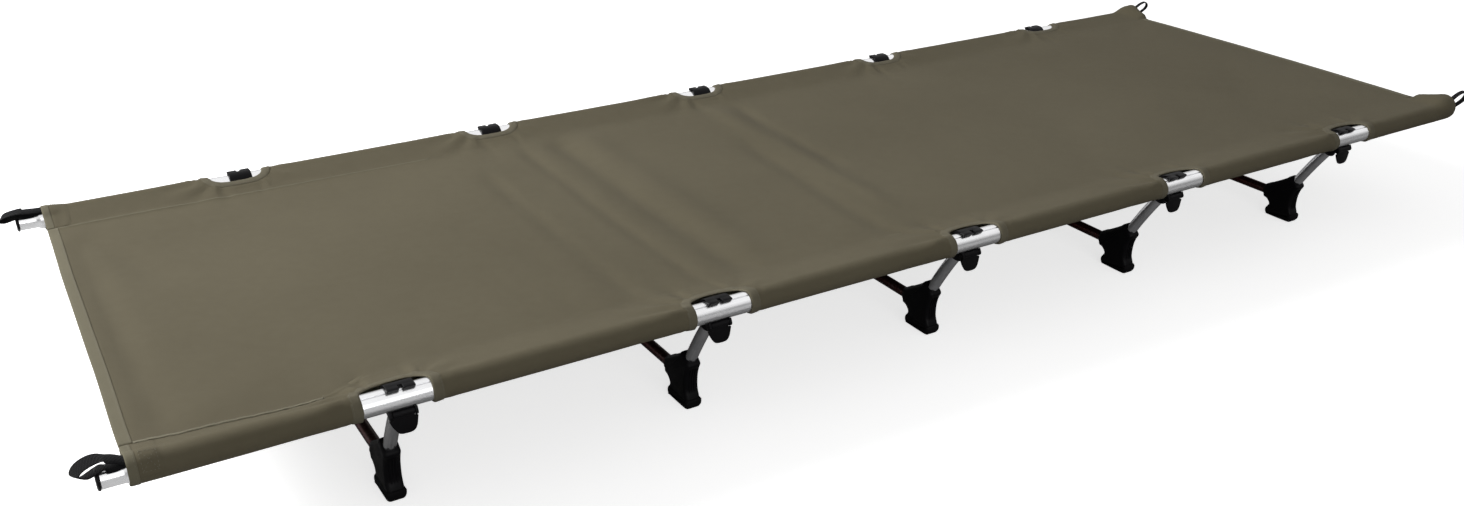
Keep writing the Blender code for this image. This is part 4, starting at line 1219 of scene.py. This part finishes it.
def makePoles():
    count, reach, outer = pole["sidesRound"], pole["crossReach"], pole["crossRadius"]
    rim, inner = outer - 0.0003, outer - pole["crossWall"]
    stops = [(-reach, rim), (-reach + 0.0003, outer), (-reach / 2, outer), (0, outer), (reach / 2, outer),
             (reach - 0.0003, outer), (reach, rim), (reach, inner), (-reach, inner), (-reach, rim)]
    line, outer = uprightLine(24), pole["uprightRadius"]
    rings = [ringAcross(*middle, outer, count) for middle in line]
    rings += [ringAcross(*line[k], outer - pole["uprightWall"], count) for k in (-1, 12, 0)]
    for number, place in enumerate(legPlaces, 1):
        bm = turned(stops, count, (place, pole["crossZ"]), "Y", capEnds=False)
        addPiece(f"cross_tube_{number}", bm, "maroonAnodised", f"cross_pole_{number}")
        for side, sign in sides.items():
            bm = sweptShell(rings + rings[:1], capEnds=False)
            addPiece(f"upright_tube_{side}_{number}", bm, "uprightAluminium", f"upright_{side}_{number}",
                     place=legPlace(number - 1, sign))


makePoles()
print("poles ready")


# rail clips and their release levers

clip = {
    "width": 0.029,
    "inner": 0.0123,
    "wall": 0.0031,
    "tipWall": 0.005,
    "tipAngle": radians(55),
    "fingerEnd": radians(112),
    "lowerAngle": radians(262),
    "slot": 0.0042,
    "bossRadius": 0.0099,
    "bodyAngle": radians(80),
    "earThickness": 0.003,
    "earRadius": 0.0041,
}
lever = {
    "camRadius": 0.0039,
    "offCentre": 0.0008,
    "pinRadius": 0.0015,
    "pinAngle": radians(-72),
    "tabThickness": 0.0028,
    "tabLength": 0.0224,
    "tabHalf": 0.0146,
    "shoulder": 0.0047,
}


def pinPlace():
    distance = railRadius + gap + lever["camRadius"] + lever["offCentre"]
    return polar(distance, lever["pinAngle"])


def hookOutline(start, end, steps, tip):  # part of the hook's ring, thicker towards the finger's tip
    inner, wall = clip["inner"], clip["wall"]
    outer = []
    for angle in evenSteps(start, end, steps):
        swell = (clip["tipWall"] - wall) * (1 - smooth((angle - clip["tipAngle"]) / radians(26)))
        outer.append(polar(inner + wall + (swell if tip else 0), angle))
    return outer + arc(inner, end, start, steps)


def clipShell():
    half, split = clip["width"] / 2, clip["slot"] / 2
    bm = bmesh.new()
    body = hookOutline(clip["bodyAngle"], clip["lowerAngle"], 30, False)
    addPrism(bm, body, -half, half, bevel=0.0007)
    finger = hookOutline(clip["tipAngle"], clip["fingerEnd"], 14, True)
    for low, high in ((-half, -split), (split, half)):
        addPrism(bm, finger, low, high, bevel=0.0011)
    ear = arc(clip["earRadius"], radians(-150), radians(10), 14, pinPlace())
    ear += arc(clip["inner"] + 0.0001, radians(-57), radians(-87), 5)
    ear.append(polar(clip["inner"] + 0.0022, clip["lowerAngle"] - radians(14)))
    inside = half - clip["earThickness"]
    for low, high in ((-half, -inside), (inside, half)):
        addPrism(bm, ear, low, high, bevel=0.0005)
    radius = clip["bossRadius"]
    stops = [(0.0132, 0.0012), (0.015, 0.0005), (0.0175, 0.0), (0.029, 0.0), (0.0296, 0.0005),
             (0.0312, 0.0005), (0.0318, 0.0), (0.032, -0.0008)]
    stops.append((0.0316, pole["uprightRadius"] + 0.0001 - radius))
    joinInto(bm, collar(Vector((0.0, 0.0)), Vector(polar(1.0, pole["lean"] + pi)), radius, stops))
    return bm


def leverShell():
    neck = clip["width"] / 2 - clip["earThickness"] - gap
    wide, foot, shoulder = lever["tabHalf"], lever["tabLength"], lever["shoulder"]
    lower = [(0.82, -0.55), (0.5, -0.88), (0.3, -0.97), (0.05, -1.0), (-0.4, -1.0), (-0.68, -0.93),
             (-0.86, -0.74), (-0.96, -0.42)]
    lower = [(wide * a, foot * b) for a, b in lower]
    lower = [(wide, -shoulder - 0.001)] + lower + [(-wide, -shoulder - 0.001)]
    outline = [(neck, 0.0), (neck, -shoulder)] + [tuple(p) for p in curveThrough(lower, 4)]
    outline += [(-neck, -shoulder), (-neck, 0.0)]
    bm = bmesh.new()
    half = lever["tabThickness"] / 2
    addPrism(bm, outline, -half, half, axis="Y", bevel=0.0009)
    centre = polar(lever["offCentre"], lever["pinAngle"] + pi)
    cam = (neck, 0.0004, lever["camRadius"], 0.0005, 28, centre)
    pin = (clip["width"] / 2 + 0.0001, 0.0003, lever["pinRadius"], 0.0003, 18, (0.0, 0.0))
    for reach, chamfer, radius, drop, count, middle in (cam, pin):
        stops = [(-reach, radius - drop), (chamfer - reach, radius)]
        stops += [(-place, size) for place, size in reversed(stops)]
        joinInto(bm, turned(stops, count, middle))
    return bm


def makeClips():
    for number in range(cot["legCount"]):
        for side, sign in sides.items():
            name, place = f"{side}_{number + 1}", legPlace(number, sign)
            addPiece(f"clip_hook_{name}", clipShell(), "blackNylon", f"rail_clip_{name}", place=place)
            place = place @ Matrix.Translation((0, *pinPlace()))
            addPiece(f"cam_lever_{name}", leverShell(), "blackNylon", f"release_lever_{name}",
                     body=f"lever_{name}", place=place)


makeClips()
print("clips ready")


# feet

footShape = {
    "halfWidth": 0.0097,
    "bevel": 0.0046,
    "rimRadius": 0.009,
    "padHalf": 0.0112,
    "padBevel": 0.0048,
}
footOutline = [  # side view, outwards along y, up along z
    (0.233, 0.0), (0.2703, 0.0), (0.2742, 0.003), (0.2755, 0.0095), (0.2735, 0.0165), (0.2707, 0.0245),
    (0.2713, 0.04), (0.2745, 0.0515), (0.2778, 0.0612), (0.2625, 0.0722), (0.256, 0.0682), (0.248, 0.063),
    (0.238, 0.0566), (0.2262, 0.0494), (0.2197, 0.0448), (0.2197, 0.0275), (0.227, 0.0242), (0.2325, 0.0178),
    (0.2293, 0.0125), (0.2293, 0.0042),
]
padOutline = [
    (0.2345, 0.0), (0.269, 0.0), (0.2738, 0.0014), (0.2765, 0.0048), (0.2772, 0.009), (0.2752, 0.0132),
    (0.265, 0.014), (0.24, 0.014), (0.231, 0.0132), (0.2281, 0.0095), (0.2281, 0.005), (0.2305, 0.0012),
]


def footShell():
    outline = [footOutline[0]] + [tuple(p) for p in curveThrough(footOutline[1:], 4)]
    bm = roundedPrism(outline, footShape["halfWidth"], footShape["bevel"], 150)
    spot, radial = uprightLine(4, 0.002)[0]
    along = Vector((-radial.y, radial.x))
    if along.y < 0:
        along = -along
    base = spot + Vector((railY, railZ))
    stops = [(-0.006, -0.0018), (0.0, -0.0006), (0.0066, -0.0001), (0.0072, 0.0005), (0.01, 0.0005),
             (0.0107, -0.0001), (0.0109, -0.0012), (0.01, -0.0015)]
    joinInto(bm, collar(base, along, footShape["rimRadius"], stops))
    stops = [(0.24, 0.008), (0.228, 0.0086), (0.2232, 0.0088), (0.2226, 0.0095), (0.22, 0.0095),
             (0.2192, 0.0089), (0.2194, 0.0071)]
    joinInto(bm, turned(stops, 36, (0.0, pole["crossZ"]), "Y"))
    rib = [(0.265, 0.019), (0.2719, 0.02), (0.2713, 0.028), (0.2718, 0.04), (0.2762, 0.053),
           (0.265, 0.05)]
    for x in (-0.0032, 0.0, 0.0032):  # faint ribs down the outer face
        addPrism(bm, rib, x - 0.0006, x + 0.0006, bevel=0.0003, segments=2)
    return bm


def padShell():  # rubber sole that bulges all round
    outline = [tuple(p) for p in curveThrough(padOutline, 4, closed=True)]
    return roundedPrism(outline, footShape["padHalf"], footShape["padBevel"], 90)


def makeFeet():
    for number in range(cot["legCount"]):
        for side, sign in sides.items():
            name, place = f"{side}_{number + 1}", legPlace(number, sign, onRail=False)
            addPiece(f"foot_moulding_{name}", footShell(), "blackNylon", f"foot_{name}", place=place)
            addPiece(f"foot_sole_{name}", padShell(), "footRubber", place=place)


makeFeet()
print("feet ready")


# floor, light and camera

studio = {
    "floorColour": (0.93, 0.93, 0.93, 1),
    "floorInBounce": (0.22, 0.22, 0.22, 1),     # a dull floor throws less light on the underside
    "floorInMetal": (0.6, 0.6, 0.6, 1),
    "ambient": 0.26,
    "floorGlow": 0.7,
    "mirrored": [(0.0, 0.6), (0.4, 0.5), (0.49, 0.3), (0.56, 0.36), (0.7, 0.85), (0.82, 1.0)],
    "lampSpread": radians(125),
}
lamps = {  # name: place, target, size, power
    "keyLamp": ((-2.9, 2.0, 2.4), (-0.75, 0.0, 0.15), (1.9, 1.3), 80.0),
    "fillLamp": ((-0.7, -2.7, 0.95), (0.0, -0.2, 0.1), (2.2, 1.3), 8.0),
}
cameraView = {
    "place": (-1.0268, -1.4557, 0.8259),
    "yaw": 0.5479,
    "pitch": 0.4312,
    "roll": 0.0022,
    "focal": 1338.79,           # in pixels of a picture 1464 wide
    "sensor": 36.0,
}


def makeFloor():
    bm = bmesh.new()
    bmesh.ops.create_grid(bm, x_segments=1, y_segments=1, size=14.0)
    mesh = bpy.data.meshes.new("floor")
    bm.to_mesh(mesh)
    bm.free()
    floor = bpy.data.objects.new("floor", mesh)
    bpy.context.scene.collection.objects.link(floor)
    material, tree, shader = newMaterial("paleFloor", Roughness=0.85, Specular_IOR_Level=0.1,
                                         Emission_Color=(1, 1, 1, 1))
    path = tree.nodes.new("ShaderNodeLightPath")
    colour = mixColours(path.outputs["Is Diffuse Ray"], studio["floorColour"], studio["floorInBounce"])
    colour = mixColours(path.outputs["Is Glossy Ray"], colour, studio["floorInMetal"])
    plug(colour, shader.inputs["Base Color"])
    seen = maths("MULTIPLY", path.outputs["Is Camera Ray"], studio["floorGlow"])
    plug(seen, shader.inputs["Emission Strength"])
    mesh.materials.append(material)


def addLamp(name, place, target, size, power):
    lamp = bpy.data.lights.new(name, "AREA")
    lamp.shape = "RECTANGLE"
    lamp.size, lamp.size_y = size
    lamp.energy = power
    lamp.spread = studio["lampSpread"]
    holder = bpy.data.objects.new(name, lamp)
    holder.location = place
    holder.rotation_euler = (Vector(target) - Vector(place)).to_track_quat("-Z", "Y").to_euler()
    bpy.context.scene.collection.objects.link(holder)


def makeLight():
    world = bpy.data.worlds.new("studio")
    bpy.context.scene.world = world
    world.use_nodes = True
    tree = world.node_tree
    for node in list(tree.nodes):
        tree.nodes.remove(node)
    path = tree.nodes.new("ShaderNodeLightPath")
    direction = addNode("SeparateXYZ", tree.nodes.new("ShaderNodeTexCoord").outputs["Generated"])
    height = spread(direction.outputs[2], -1.0, 1.0, 0.0, 1.0)
    ramp = addNode("ValToRGB", height)  # what shiny metal sees: dim horizon, bright ceiling
    stops = studio["mirrored"]
    while len(ramp.color_ramp.elements) < len(stops):
        ramp.color_ramp.elements.new(0.5)
    for element, (spot, level) in zip(ramp.color_ramp.elements, stops):
        element.position = spot
        element.color = (level, level, level, 1)
    mirrored = maths("MAXIMUM", path.outputs["Is Glossy Ray"], path.outputs["Is Transmission Ray"])
    seen = maths("MAXIMUM", path.outputs["Is Camera Ray"], mirrored)
    colour = mixColours(mirrored, (1, 1, 1, 1), ramp.outputs[0])
    level = spread(seen, 0.0, 1.0, studio["ambient"], 1.0)
    addNode("OutputWorld", addNode("Background", colour, level).outputs[0])
    for name, look in lamps.items():
        addLamp(name, *look)


def makeCamera():
    yaw, pitch, roll = (cameraView[name] for name in ("yaw", "pitch", "roll"))
    ahead = Vector((sin(yaw) * cos(pitch), cos(yaw) * cos(pitch), -sin(pitch)))
    right = Vector((cos(yaw), -sin(yaw), 0))
    up = right.cross(ahead)
    right, up = (right * cos(roll) + up * sin(roll), up * cos(roll) - right * sin(roll))
    data = bpy.data.cameras.new("camera")
    data.sensor_width = cameraView["sensor"]
    data.lens = cameraView["focal"] * cameraView["sensor"] / 1464
    data.clip_start = 0.05
    camera = bpy.data.objects.new("camera", data)
    matrix = Matrix((right, up, -ahead)).transposed().to_4x4()
    matrix.translation = cameraView["place"]
    camera.matrix_world = matrix
    bpy.context.scene.collection.objects.link(camera)
    bpy.context.scene.camera = camera


makeFloor()
makeLight()
makeCamera()
bpy.context.scene.view_settings.view_transform = "Standard"
print("studio ready")
